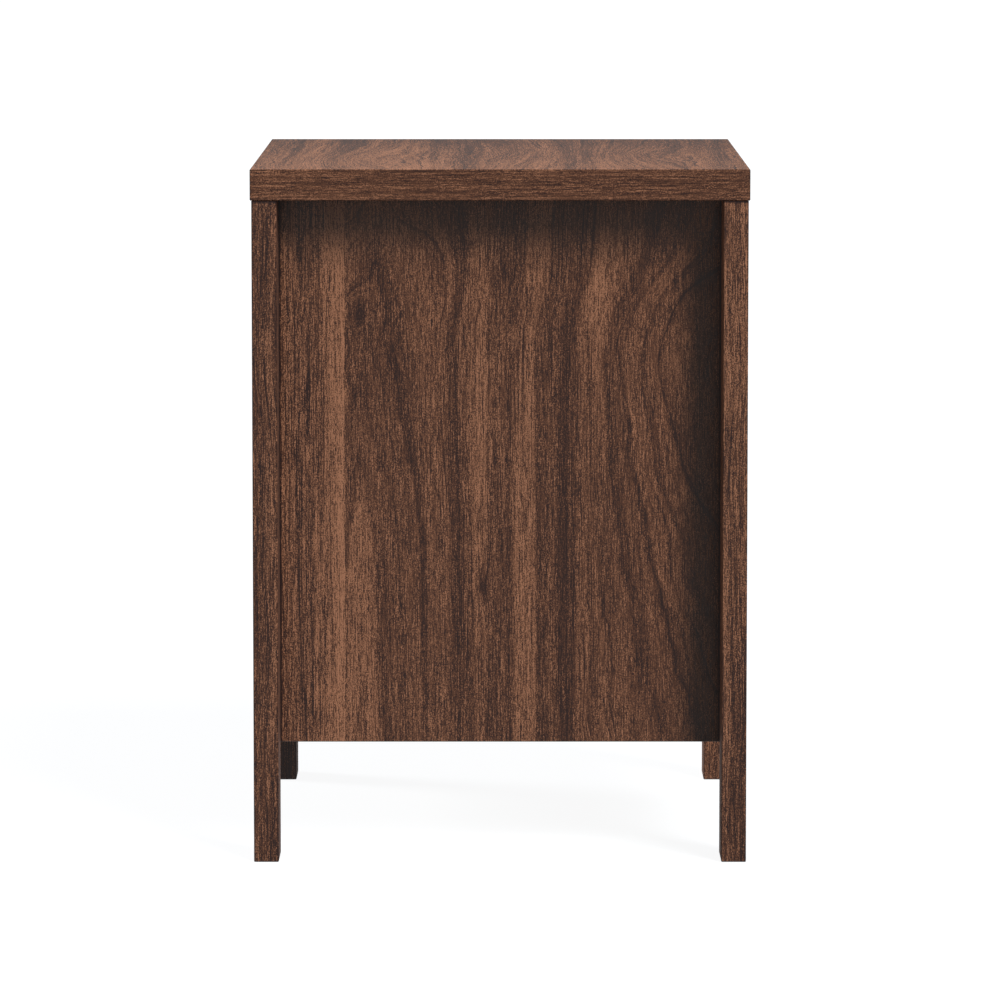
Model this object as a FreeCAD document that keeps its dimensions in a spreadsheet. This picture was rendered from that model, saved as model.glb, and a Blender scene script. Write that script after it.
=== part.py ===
import FreeCAD, Part
import os
import re
import Sketcher
from FreeCAD import Rotation, Vector

# Nightstand: a case on four square legs, closed by a flat top, with two inset drawers on roller runners.
# Millimetres. The origin lies on the floor under the middle of the case. X is the width, +Y points to the
# back and +Z is up, so the drawers open along -Y.

# Driving sizes, one table for each group of pieces.

case_sizes = {
    "overall_width": 480,
    "overall_depth": 400,
    "overall_height": 560,
    "slab_thickness": 25,
    "slab_overhang_side": 1.0,
    "slab_overhang_front": 1.2,
    "leg_width": 48,
    "leg_thickness": 20,
    "case_clearance": 91,
    "side_thickness": 15,
    "bottom_thickness": 15,
    "rail_thickness": 15,
    "rail_depth": 60,
    "back_thickness": 3,
    "back_inset": 22,
    "back_groove_depth": 6,
    "groove_fit": 0.3,
    "arris": 0.6,
}

joinery_sizes = {
    "drill_fit": 0.2,
    "drill_spare": 0.5,
    "dowel_diameter": 8,
    "dowel_length": 30,
    "dowel_in_side": 11,
    "cam_diameter": 15,
    "cam_height": 12,
    "cam_setback": 34,
    "cam_slot_width": 1.6,
    "cam_slot_depth": 1.5,
    "cam_bolt_thread_diameter": 5,
    "cam_bolt_thread_length": 11,
    "cam_bolt_collar_diameter": 7,
    "cam_bolt_collar_length": 2,
    "cam_bolt_shank_length": 30,
    "cam_bolt_bore": 8,
    "cam_dowel_pitch": 32,
    "bottom_joint_inset": 70,
    "leg_bolt_inset": 60,
    "leg_bolt_diameter": 6,
    "leg_bolt_length": 22,
    "leg_bolt_head_diameter": 15,
    "leg_bolt_head_thickness": 2.5,
    "leg_bolt_sink": 3,
    "insert_diameter": 10,
    "insert_length": 13,
    "top_screw_diameter": 4,
    "top_screw_length": 28,
    "top_screw_head_diameter": 8.5,
    "top_screw_head_thickness": 2.4,
    "top_screw_from_cam": 56,
}

drawer_sizes = {
    "reveal": 2,
    "front_thickness": 18,
    "scoop_width": 120,
    "scoop_depth": 22,
    "scoop_corner_radius": 18,
    "scoop_edge_radius": 2.5,
    "box_wall": 12,
    "box_headroom": 33.5,
    "box_rear_gap": 4.3,
    "box_lift": 16,
    "rebate_depth": 6,
    "drawer_bottom_thickness": 3,
    "drawer_bottom_rise": 10,
    "drawer_groove_depth": 6,
    "front_screw_diameter": 4,
    "front_screw_length": 24,
    "front_screw_head_diameter": 8,
    "front_screw_head_thickness": 2,
    "front_screw_inset": 41.3,
    "front_screw_rise": 40,
}

runner_sizes = {
    "runner_gap": 12.7,
    "runner_setback": 2,
    "runner_hold": 74,
    "steel_gauge": 1.2,
    "bend_radius": 0.8,
    "side_play": 0.4,
    "track_play": 0.3,
    "rail_headroom": 1.2,
    "track_drop": 2,
    "channel_lip_height": 2.5,
    "channel_notch_length": 42,
    "rail_lip_height": 3,
    "rail_edge_gap": 1.0,
    "stop_length": 3,
    "stop_height": 2,
    "rear_stop_height": 6,
    "slot_width": 4.4,
    "slot_length": 9,
    "runner_screw_inset": 37,
    "runner_screw_rear_inset": 89,
    "runner_screw_diameter": 3.5,
    "channel_screw_length": 13,
    "rail_screw_length": 9,
    "runner_screw_head_diameter": 6.8,
    "runner_screw_head_thickness": 1.0,
}

roller_sizes = {
    "roller_diameter": 16,
    "roller_width": 5.4,
    "roller_edge_radius": 0.6,
    "roller_recess_depth": 1.2,
    "roller_rim": 2.2,
    "roller_hub_wall": 2.0,
    "roller_lip_gap": 0.5,
    "roller_side_gap": 0.1,
    "running_fit": 0.05,
    "pin_diameter": 5,
    "pin_collar_diameter": 8,
    "pin_head_thickness": 1.0,
    "pin_tail_diameter": 3,
    "front_roller_inset": 14,
    "rear_roller_inset": 10,
}

# Places and sizes that follow from the driving ones. Each may use the names above it.

derived = {
    "leg_top": "overall_height - slab_thickness",
    "leg_outer_x": "overall_width / 2 - slab_overhang_side",
    "leg_inner_x": "leg_outer_x - leg_width",
    "leg_outer_y": "overall_depth / 2 - slab_overhang_front",
    "leg_inner_y": "leg_outer_y - leg_thickness",
    "side_inner_x": "leg_inner_x - side_thickness",
    "case_floor": "case_clearance + bottom_thickness",
    "opening_height": "(leg_top - 2 * rail_thickness - case_floor) / 2",
    "divider_low": "case_floor + opening_height",
    "upper_floor": "divider_low + rail_thickness",
    "top_rail_low": "leg_top - rail_thickness",
    "groove_rear_y": "leg_outer_y - back_inset",
    "groove_front_y": "groove_rear_y - back_thickness - groove_fit",
    "front_rail_rear_y": "rail_depth - leg_outer_y",
    "rear_rail_front_y": "groove_front_y - rail_depth",
    "front_rail_middle_y": "rail_depth / 2 - leg_outer_y",
    "rear_rail_middle_y": "groove_front_y - rail_depth / 2",
    "leg_middle_y": "leg_outer_y - leg_thickness / 2",
    "leg_bolt_low_z": "case_clearance + leg_bolt_inset",
    "leg_bolt_high_z": "leg_top - leg_bolt_inset",
    "cam_x": "side_inner_x - cam_setback",
    "top_screw_x": "cam_x - top_screw_from_cam",
    "bottom_joint_y": "leg_outer_y - bottom_joint_inset",
    "front_rear_y": "front_thickness - leg_outer_y",
    "box_half_width": "side_inner_x - runner_gap",
    "box_height": "opening_height - box_lift - box_headroom",
    "box_rear_y": "groove_front_y - box_rear_gap",
    "box_length": "box_rear_y - front_rear_y",
    "front_screw_x": "box_half_width - box_wall - front_screw_inset",
    "channel_depth": "runner_gap - steel_gauge - side_play",
    "channel_start_y": "front_rear_y + runner_setback",
    "roller_far": "channel_depth - steel_gauge - roller_lip_gap",
    "roller_near": "roller_far - roller_width",
    "channel_inside": "2 * track_play + roller_diameter + steel_gauge + rail_headroom",
    "roller_axis_rise": "track_play + roller_diameter / 2",
    "rail_under_rise": "roller_diameter + 2 * track_play",
    "front_roller_y": "channel_start_y + front_roller_inset",
    "rear_roller_y": "box_rear_y - rear_roller_inset",
    "runner_travel": "rear_roller_y - front_roller_y - runner_hold",
    "stop_reach": "sqrt((roller_diameter / 2) ^ 2 - (roller_diameter / 2 + track_play - stop_height) ^ 2)",
    "slot_middle_rise": "channel_inside / 2",
    "runner_screw_front_y": "channel_start_y + runner_screw_inset",
    "runner_screw_rear_y": "channel_start_y + box_length - runner_screw_rear_inset",
}

# The sheet that holds the driving sizes.

doc = FreeCAD.newDocument("Nightstand")
sheet = doc.addObject("Spreadsheet::Sheet", "Sizes")
aliases = {}
for table in (case_sizes, joinery_sizes, drawer_sizes, runner_sizes, roller_sizes):
    for alias, number in table.items():
        row = str(len(aliases) + 1)
        sheet.set("A" + row, alias)
        sheet.set("B" + row, str(number))
        sheet.setAlias("B" + row, alias)
        aliases[alias] = "Sizes." + alias
doc.recompute()


def full(expression):
    """The expression with derived names written out and the sheet's names made complete."""

    def written_out(found):
        word = found.group(0)
        if word in derived:
            return "(" + full(derived[word]) + ")"
        return aliases.get(word, word)

    return re.sub(r"[a-z][a-z_]*", written_out, str(expression))


def value(expression):
    return float(sheet.evalExpression(full(expression)))


def bind(thing, path, expression):
    thing.setExpression(path, full(expression))


# Bodies, sketches and features.

corners = {}
plane_roles = {"x": "YZ_Plane", "y": "XZ_Plane", "z": "XY_Plane"}
sketch_axes = {"x": ("y", "z"), "y": ("x", "z"), "z": ("x", "y")}
normal_signs = {"x": 1, "y": -1, "z": 1}


def new_body(name, corner):
    """A body whose own origin stands at the corner, given as the X, Y and Z places in the nightstand."""
    body = doc.addObject("PartDesign::Body", name)
    for axis, place in zip("xyz", corner):
        bind(body, "Placement.Base." + axis, place)
    corners[name] = dict(zip("xyz", corner))
    return body


def within(body, axis, place):
    """A place in the nightstand as a place in the body."""
    return "(" + place + ") - (" + corners[body.Name][axis] + ")"


def sketch_across(body, axis, place):
    """An empty sketch square to the axis, at a place along it."""
    sketch = body.newObject("Sketcher::SketchObject", body.Name + "_sketch")
    plane = next(f for f in body.Origin.OriginFeatures if f.Role == plane_roles[axis])
    sketch.AttachmentSupport = [(plane, "")]
    sketch.MapMode = "FlatFace"
    sign = "" if normal_signs[axis] > 0 else "-"
    bind(sketch, "AttachmentOffset.Base.z", sign + "(" + within(body, axis, place) + ")")
    return sketch


def fix_point(sketch, edge, end, place):
    """Holds one point of the sketch at a place given as two expressions."""
    for kind, expression in zip(("DistanceX", "DistanceY"), place):
        index = sketch.addConstraint(Sketcher.Constraint(kind, -1, 1, edge, end, value(expression)))
        bind(sketch, "Constraints[" + str(index) + "]", expression)


def add_polygon(sketch, points):
    """A closed outline of straight edges through the points."""
    vectors = [Vector(value(across), value(up), 0) for across, up in points]
    first = sketch.GeometryCount
    count = len(points)
    for number in range(count):
        sketch.addGeometry(Part.LineSegment(vectors[number], vectors[(number + 1) % count]))
    for number in range(count):
        following = first + (number + 1) % count
        sketch.addConstraint(Sketcher.Constraint("Coincident", first + number, 2, following, 1))
    for number in range(count):
        fix_point(sketch, first + number, 1, points[number])


def add_rectangle(sketch, low, high):
    add_polygon(sketch, [low, (high[0], low[1]), high, (low[0], high[1])])


def add_circle(sketch, centre, diameter):
    middle = Vector(value(centre[0]), value(centre[1]), 0)
    edge = sketch.addGeometry(Part.Circle(middle, Vector(0, 0, 1), value(diameter) / 2))
    fix_point(sketch, edge, 3, centre)
    index = sketch.addConstraint(Sketcher.Constraint("Diameter", edge, value(diameter)))
    bind(sketch, "Constraints[" + str(index) + "]", diameter)


def add_slot(sketch, centre, length, width, upright):
    """A slot with round ends about the centre, lying along the sketch's first or second direction."""
    shift = "((" + length + ") - (" + width + ")) / 2"
    radius = value(width) / 2
    places = []
    for sign in ("-", "+"):
        if upright:
            places.append((centre[0], centre[1] + " " + sign + " " + shift))
        else:
            places.append((centre[0] + " " + sign + " " + shift, centre[1]))
    near, far = [Vector(value(across), value(up), 0) for across, up in places]
    along = (far - near).normalize()
    aside = Vector(-along.y, along.x, 0) * radius
    near_arc = sketch.addGeometry(Part.Arc(near + aside, near - along * radius, near - aside))
    far_arc = sketch.addGeometry(Part.Arc(far - aside, far + along * radius, far + aside))
    low_line = sketch.addGeometry(Part.LineSegment(near - aside, far - aside))
    high_line = sketch.addGeometry(Part.LineSegment(far + aside, near + aside))
    sketch.addConstraint(Sketcher.Constraint("Tangent", near_arc, 2, low_line, 1))
    sketch.addConstraint(Sketcher.Constraint("Tangent", low_line, 2, far_arc, 1))
    sketch.addConstraint(Sketcher.Constraint("Tangent", far_arc, 2, high_line, 1))
    sketch.addConstraint(Sketcher.Constraint("Tangent", high_line, 2, near_arc, 1))
    fix_point(sketch, near_arc, 3, places[0])
    fix_point(sketch, far_arc, 3, places[1])
    index = sketch.addConstraint(Sketcher.Constraint("Radius", near_arc, radius))
    bind(sketch, "Constraints[" + str(index) + "]", "(" + width + ") / 2")


def pad(body, axis, sketch, length):
    """Adds the sketch's outline to the body, along the positive axis."""
    feature = body.newObject("PartDesign::Pad", body.Name + "_pad")
    feature.Profile = sketch
    bind(feature, "Length", length)
    feature.Reversed = normal_signs[axis] < 0
    doc.recompute()
    return feature


def pocket(body, axis, sketch, depth, along):
    """Cuts the sketch's outline out of the body, up (1) or down (-1) the axis."""
    before = body.Shape.Volume
    feature = body.newObject("PartDesign::Pocket", body.Name + "_pocket")
    feature.Profile = sketch
    bind(feature, "Length", depth)
    feature.Reversed = along == normal_signs[axis]
    doc.recompute()
    if not body.Shape.Volume < before:
        raise ValueError(feature.Name + " cuts nothing")
    return feature


def board(name, low, high):
    """A plain board between two corners of the nightstand."""
    body = new_body(name, low)
    sketch = sketch_across(body, "z", low[2])
    size_x, size_y, size_z = [within(body, axis, place) for axis, place in zip("xyz", high)]
    add_rectangle(sketch, ("0", "0"), (size_x, size_y))
    pad(body, "z", sketch, size_z)
    return body


def drill(body, axis, face, along, centres, diameter, depth):
    """Round holes from a face of the body, each centre given as two places in the nightstand."""
    sketch = sketch_across(body, axis, face)
    across, up = sketch_axes[axis]
    for centre in centres:
        add_circle(sketch, (within(body, across, centre[0]), within(body, up, centre[1])), diameter)
    return pocket(body, axis, sketch, depth, along)


def cut(body, axis, face, along, low, high, depth):
    """A straight-sided recess from a face of the body, such as a groove or a rebate."""
    sketch = sketch_across(body, axis, face)
    across, up = sketch_axes[axis]
    near = (within(body, across, low[0]), within(body, up, low[1]))
    far = (within(body, across, high[0]), within(body, up, high[1]))
    add_rectangle(sketch, near, far)
    return pocket(body, axis, sketch, depth, along)


def soften(body, radius):
    """Takes the sharpness off every edge of a plain board."""
    base = body.Tip
    feature = body.newObject("PartDesign::Chamfer", body.Name + "_arris")
    feature.Base = (base, ["Edge" + str(n + 1) for n in range(len(base.Shape.Edges))])
    bind(feature, "Size", radius)
    doc.recompute()


along_share = 0.999


def edges_along(shape, direction, places):
    """The names of the edges along a direction that run nearest to each of the places."""
    straight = []
    for number, edge in enumerate(shape.Edges):
        if edge.Curve.TypeId == "Part::GeomLine" and abs(edge.Curve.Direction.dot(direction)) > along_share:
            straight.append(("Edge" + str(number + 1), edge))
    names = []
    for place in places:
        gaps = [(edge.Curve.projectPoint(place).distanceToPoint(place), name) for name, edge in straight]
        names.append(min(gaps)[1])
    return names


def round_edges(body, names, radius):
    base = body.Tip
    feature = body.newObject("PartDesign::Fillet", body.Name + "_round")
    feature.Base = (base, names)
    bind(feature, "Radius", radius)
    doc.recompute()


def turned(name, profile):
    """A body turned about its own Z axis from half a profile, given as radius and height."""
    body = new_body(name, ("0", "0", "0"))
    sketch = sketch_across(body, "y", "0")
    add_polygon(sketch, profile)
    feature = body.newObject("PartDesign::Revolution", name + "_turn")
    feature.Profile = sketch
    feature.ReferenceAxis = (sketch, ["V_Axis"])
    feature.Angle = 360
    doc.recompute()
    return body


def mirrored(name, source, normal):
    """The same piece on the other side of the nightstand."""
    mirror = doc.addObject("Part::Mirroring", name)
    mirror.Source = source
    mirror.Normal = normal
    mirror.Base = Vector(0, 0, 0)
    return mirror


def placed(source, places, direction):
    """Copies of a body at the places in the nightstand, its own Z axis turned to the direction."""
    copies = []
    for place in places:
        link = doc.addObject("App::Link", source.Name + "_copy")
        link.LinkedObject = source
        link.Placement.Rotation = Rotation(Vector(0, 0, 1), direction)
        for axis, expression in zip("xyz", place):
            bind(link, "Placement.Base." + axis, expression)
        copies.append(link)
    return copies


def group(name, copies):
    """One sub-part made of separate equal solids."""
    compound = doc.addObject("Part::Compound", name)
    compound.Links = copies
    return compound


rightward = Vector(1, 0, 0)
leftward = Vector(-1, 0, 0)
backward = Vector(0, 1, 0)
forward = Vector(0, -1, 0)
upward = Vector(0, 0, 1)

sub_parts = []

# Top slab. Its underside has blind holes for the screws that come up through the top rails.

top_slab = board(
    "top_slab",
    ("-overall_width / 2", "-overall_depth / 2", "leg_top"),
    ("overall_width / 2", "overall_depth / 2", "overall_height"),
)
soften(top_slab, "arris")
top_screw_places = [
    (sign + "top_screw_x", rail_y)
    for rail_y in ("front_rail_middle_y", "rear_rail_middle_y")
    for sign in ("-", "")
]
top_screw_in_slab = "top_screw_length - rail_thickness"
drill(
    top_slab,
    "z",
    "leg_top",
    1,
    top_screw_places,
    "top_screw_diameter + drill_fit",
    top_screw_in_slab + " + drill_spare",
)
sub_parts.append(top_slab)

# Legs: four straight posts as thick as the slab's edge is inset, each with two blind holes in its inner
# face for the threaded inserts. They are planted on the outer faces of the side panels.

front_right_leg = board(
    "front_right_leg",
    ("leg_inner_x", "-leg_outer_y", "0"),
    ("leg_outer_x", "-leg_inner_y", "leg_top"),
)
soften(front_right_leg, "arris")
drill(
    front_right_leg,
    "x",
    "leg_inner_x",
    1,
    [("-leg_middle_y", "leg_bolt_low_z"), ("-leg_middle_y", "leg_bolt_high_z")],
    "insert_diameter + drill_fit",
    "insert_length + drill_spare",
)
front_left_leg = mirrored("front_left_leg", front_right_leg, rightward)
rear_right_leg = mirrored("rear_right_leg", front_right_leg, backward)
rear_left_leg = mirrored("rear_left_leg", rear_right_leg, rightward)
sub_parts += [front_right_leg, front_left_leg, rear_right_leg, rear_left_leg]

# Side panels: the full depth of the case, flush with the inner faces of the legs. The inner face has the
# groove of the back panel, the sunk seats of the leg bolts and blind holes for dowels, cam bolts and
# runner screws.

right_side_panel = board(
    "right_side_panel",
    ("side_inner_x", "-leg_outer_y", "case_clearance"),
    ("leg_inner_x", "leg_outer_y", "leg_top"),
)
soften(right_side_panel, "arris")
cut(
    right_side_panel,
    "x",
    "side_inner_x",
    1,
    ("groove_front_y", "case_floor - back_groove_depth"),
    ("groove_rear_y", "leg_top"),
    "back_groove_depth",
)
leg_bolt_places = [
    (sign + "leg_middle_y", bolt_z) for sign in ("-", "") for bolt_z in ("leg_bolt_low_z", "leg_bolt_high_z")
]
drill(
    right_side_panel,
    "x",
    "side_inner_x",
    1,
    leg_bolt_places,
    "leg_bolt_head_diameter + drill_fit",
    "leg_bolt_sink",
)
drill(
    right_side_panel,
    "x",
    "side_inner_x",
    1,
    leg_bolt_places,
    "leg_bolt_diameter + drill_fit",
    "side_thickness",
)

# Each horizontal board meets a side panel with a cam bolt and a dowel beside it. A joint is the height of
# the board's middle, the place of the cam and the place of the dowel.

half_pitch = "cam_dowel_pitch / 2"
front_joint = ("front_rail_middle_y - " + half_pitch, "front_rail_middle_y + " + half_pitch)
rear_joint = ("rear_rail_middle_y + " + half_pitch, "rear_rail_middle_y - " + half_pitch)
bottom_front_joint = ("-bottom_joint_y", "cam_dowel_pitch - bottom_joint_y")
bottom_rear_joint = ("bottom_joint_y", "bottom_joint_y - cam_dowel_pitch")
board_joints = {
    "bottom_panel": ("case_clearance", "bottom_thickness", [bottom_front_joint, bottom_rear_joint]),
    "divider_rail": ("divider_low", "rail_thickness", [front_joint]),
    "top_front_rail": ("top_rail_low", "rail_thickness", [front_joint]),
    "top_rear_rail": ("top_rail_low", "rail_thickness", [rear_joint]),
}
cam_places = []
cam_bolt_places = []
dowel_places = []
for low_z, thickness, joints in board_joints.values():
    middle_z = low_z + " + " + thickness + " / 2"
    for cam_y, dowel_y in joints:
        cam_places.append((cam_y, low_z))
        cam_bolt_places.append((cam_y, middle_z))
        dowel_places.append((dowel_y, middle_z))
drill(
    right_side_panel,
    "x",
    "side_inner_x",
    1,
    cam_bolt_places,
    "cam_bolt_thread_diameter + drill_fit",
    "cam_bolt_thread_length + drill_spare",
)
drill(
    right_side_panel,
    "x",
    "side_inner_x",
    1,
    dowel_places,
    "dowel_diameter + drill_fit",
    "dowel_in_side + drill_spare",
)

# The runners of both drawers are screwed to the side panel at the same two places along it.

opening_floors = {"lower": "case_floor", "upper": "upper_floor"}
track_levels = {level: floor + " + box_lift - track_drop" for level, floor in opening_floors.items()}
runner_screw_ys = ["runner_screw_front_y", "runner_screw_rear_y"]
channel_screw_places = [
    (screw_y, track + " + slot_middle_rise")
    for track in track_levels.values()
    for screw_y in runner_screw_ys
]
drill(
    right_side_panel,
    "x",
    "side_inner_x",
    1,
    channel_screw_places,
    "runner_screw_diameter + drill_fit",
    "channel_screw_length - steel_gauge + drill_spare",
)
left_side_panel = mirrored("left_side_panel", right_side_panel, rightward)
sub_parts += [right_side_panel, left_side_panel]

# Bottom panel and rails: boards between the side panels, each bored for its cam locks from below and for
# its cam bolts and dowels from both ends.


def cross_board(name, front_y, rear_y):
    low_z, thickness, joints = board_joints[name]
    high_z = low_z + " + " + thickness
    middle_z = low_z + " + " + thickness + " / 2"
    body = board(name, ("-side_inner_x", front_y, low_z), ("side_inner_x", rear_y, high_z))
    cams = [(sign + "cam_x", cam_y) for sign in ("-", "") for cam_y, dowel_y in joints]
    cam_depth = "cam_height + drill_spare"
    drill(body, "z", low_z, 1, cams, "cam_diameter + drill_fit", cam_depth)
    for face, along in (("-side_inner_x", 1), ("side_inner_x", -1)):
        bolts = [(cam_y, middle_z) for cam_y, dowel_y in joints]
        dowels = [(dowel_y, middle_z) for cam_y, dowel_y in joints]
        drill(body, "x", face, along, bolts, "cam_bolt_bore", "cam_setback")
        dowel_depth = "dowel_length - dowel_in_side + drill_spare"
        drill(body, "x", face, along, dowels, "dowel_diameter + drill_fit", dowel_depth)
    return body


bottom_panel = cross_board("bottom_panel", "-leg_outer_y", "leg_outer_y")
cut(
    bottom_panel,
    "z",
    "case_floor",
    -1,
    ("-side_inner_x", "groove_front_y"),
    ("side_inner_x", "groove_rear_y"),
    "back_groove_depth",
)
divider_rail = cross_board("divider_rail", "-leg_outer_y", "front_rail_rear_y")
top_front_rail = cross_board("top_front_rail", "-leg_outer_y", "front_rail_rear_y")
top_rear_rail = cross_board("top_rear_rail", "rear_rail_front_y", "groove_front_y")
for rail, rail_y in ((top_front_rail, "front_rail_middle_y"), (top_rear_rail, "rear_rail_middle_y")):
    places = [("-top_screw_x", rail_y), ("top_screw_x", rail_y)]
    drill(rail, "z", "top_rail_low", 1, places, "top_screw_diameter + drill_fit", "rail_thickness")
sub_parts += [bottom_panel, divider_rail, top_front_rail, top_rear_rail]

# Back panel: a thin sheet held in the grooves of the sides and of the bottom.

back_panel = board(
    "back_panel",
    (
        "groove_fit - side_inner_x - back_groove_depth",
        "groove_front_y + groove_fit / 2",
        "case_floor - back_groove_depth + groove_fit",
    ),
    (
        "side_inner_x + back_groove_depth - groove_fit",
        "groove_rear_y - groove_fit / 2",
        "leg_top - groove_fit",
    ),
)
sub_parts.append(back_panel)

# Dowels and cam bolts of the case joints. Those of the left side mirror those of the right.


def both_sides(name, copies):
    right = group(name + "_right", copies)
    left = mirrored(name + "_left", right, rightward)
    return group(name, [right, left])


dowel = turned(
    "dowel",
    [
        ("0", "0"),
        ("dowel_diameter / 2", "0"),
        ("dowel_diameter / 2", "dowel_length"),
        ("0", "dowel_length"),
    ],
)
dowel_starts = [("side_inner_x + dowel_in_side", y, z) for y, z in dowel_places]
wood_dowels = both_sides("wood_dowels", placed(dowel, dowel_starts, leftward))

collar_top = "cam_bolt_thread_length + cam_bolt_collar_length"
bolt_top = collar_top + " + cam_bolt_shank_length"
cam_bolt = turned(
    "cam_bolt",
    [
        ("0", "0"),
        ("cam_bolt_thread_diameter / 2", "0"),
        ("cam_bolt_thread_diameter / 2", "cam_bolt_thread_length"),
        ("cam_bolt_collar_diameter / 2", "cam_bolt_thread_length"),
        ("cam_bolt_collar_diameter / 2", collar_top),
        ("cam_bolt_thread_diameter / 2", collar_top),
        ("cam_bolt_thread_diameter / 2", bolt_top),
        ("0", bolt_top),
    ],
)
cam_bolt_starts = [("side_inner_x + cam_bolt_thread_length", y, z) for y, z in cam_bolt_places]
cam_bolts = both_sides("cam_bolts", placed(cam_bolt, cam_bolt_starts, leftward))

# Cam locks: discs that lie in the undersides of the boards, open towards the bolt, with a driver slot in
# the face that shows.

cam_lock = new_body("cam_lock", ("0", "0", "0"))
cam_sketch = sketch_across(cam_lock, "z", "0")
add_circle(cam_sketch, ("0", "0"), "cam_diameter")
pad(cam_lock, "z", cam_sketch, "cam_height")
mouth_width = "cam_bolt_thread_diameter + 2 * drill_fit"
cam_middle = "rail_thickness / 2 - drill_fit"
cut(
    cam_lock,
    "x",
    "cam_diameter / 2",
    -1,
    ("-(" + mouth_width + ") / 2", cam_middle + " - (" + mouth_width + ") / 2"),
    ("(" + mouth_width + ") / 2", cam_middle + " + (" + mouth_width + ") / 2"),
    "cam_diameter / 2 + drill_spare",
)
cut(
    cam_lock,
    "z",
    "0",
    1,
    ("-cam_slot_width / 2", "-cam_diameter / 2"),
    ("cam_slot_width / 2", "cam_diameter / 2"),
    "cam_slot_depth",
)
cam_starts = [("cam_x", y, z + " + drill_fit") for y, z in cam_places]
cam_locks = both_sides("cam_locks", placed(cam_lock, cam_starts, upward))

# Leg bolts with flat heads, sunk in the inner faces of the side panels, and the threaded inserts in the
# legs that they run into.

leg_bolt_seat = "leg_bolt_sink - leg_bolt_head_thickness"
leg_bolt = turned(
    "leg_bolt",
    [
        ("0", "0"),
        ("leg_bolt_head_diameter / 2", "0"),
        ("leg_bolt_head_diameter / 2", "leg_bolt_head_thickness"),
        ("leg_bolt_diameter / 2", "leg_bolt_head_thickness"),
        ("leg_bolt_diameter / 2", "leg_bolt_head_thickness + leg_bolt_length"),
        ("0", "leg_bolt_head_thickness + leg_bolt_length"),
    ],
)
leg_bolt_starts = [("side_inner_x + " + leg_bolt_seat, y, z) for y, z in leg_bolt_places]
leg_bolts = both_sides("leg_bolts", placed(leg_bolt, leg_bolt_starts, rightward))

insert_bore = "(leg_bolt_diameter + drill_fit) / 2"
leg_insert = turned(
    "leg_insert",
    [
        (insert_bore, "0"),
        ("insert_diameter / 2", "0"),
        ("insert_diameter / 2", "insert_length"),
        (insert_bore, "insert_length"),
    ],
)
leg_insert_starts = [("leg_inner_x", y, z) for y, z in leg_bolt_places]
leg_inserts = both_sides("leg_inserts", placed(leg_insert, leg_insert_starts, rightward))


def pan_screw(name, diameter, length, head_diameter, head_thickness):
    """A screw whose head lies below its own origin plane and whose shank stands above it."""
    return turned(
        name,
        [
            ("0", "-" + head_thickness),
            (head_diameter + " / 2", "-" + head_thickness),
            (head_diameter + " / 2", "0"),
            (diameter + " / 2", "0"),
            (diameter + " / 2", length),
            ("0", length),
        ],
    )


top_screw = pan_screw(
    "top_screw",
    "top_screw_diameter",
    "top_screw_length",
    "top_screw_head_diameter",
    "top_screw_head_thickness",
)
top_screw_starts = [(x, y, "top_rail_low") for x, y in top_screw_places]
top_screws = group("top_screws", placed(top_screw, top_screw_starts, upward))
sub_parts += [wood_dowels, cam_bolts, cam_locks, leg_bolts, leg_inserts, top_screws]

# Runner screws: longer ones into the side panels, shorter ones that stay under the drawer's bottom.


def runner_screw(member):
    return pan_screw(
        member + "_screw",
        "runner_screw_diameter",
        member + "_screw_length",
        "runner_screw_head_diameter",
        "runner_screw_head_thickness",
    )


channel_screw = runner_screw("channel")
rail_screw = runner_screw("rail")
channel_screw_starts = [("side_inner_x - steel_gauge", y, z) for y, z in channel_screw_places]
channel_screws = both_sides("channel_screws", placed(channel_screw, channel_screw_starts, rightward))
sub_parts.append(channel_screws)


def bend(body, bends):
    """Rounds the folds of a pressed strip. Each fold is the place of its outer and of its inner corner."""
    sides = (("bend_radius + steel_gauge", 0), ("bend_radius", 1))
    for radius, which in sides:
        places = [Vector(value(fold[which][0]), 0, value(fold[which][1])) for fold in bends]
        round_edges(body, edges_along(body.Tip.Shape, backward, places), radius)


# Cabinet channels: pressed steel strip folded to a C, open towards the drawer, with an upright lip at its
# lower edge that keeps the drawer's roller in. The strip's corner is the track's level at the side
# panel's face, and what lies further in has a negative X. A channel is as long as the drawer's box. Its
# upper fold is cut away at the front, where the drawer is lifted in, and two stops limit the roller's way.


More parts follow.
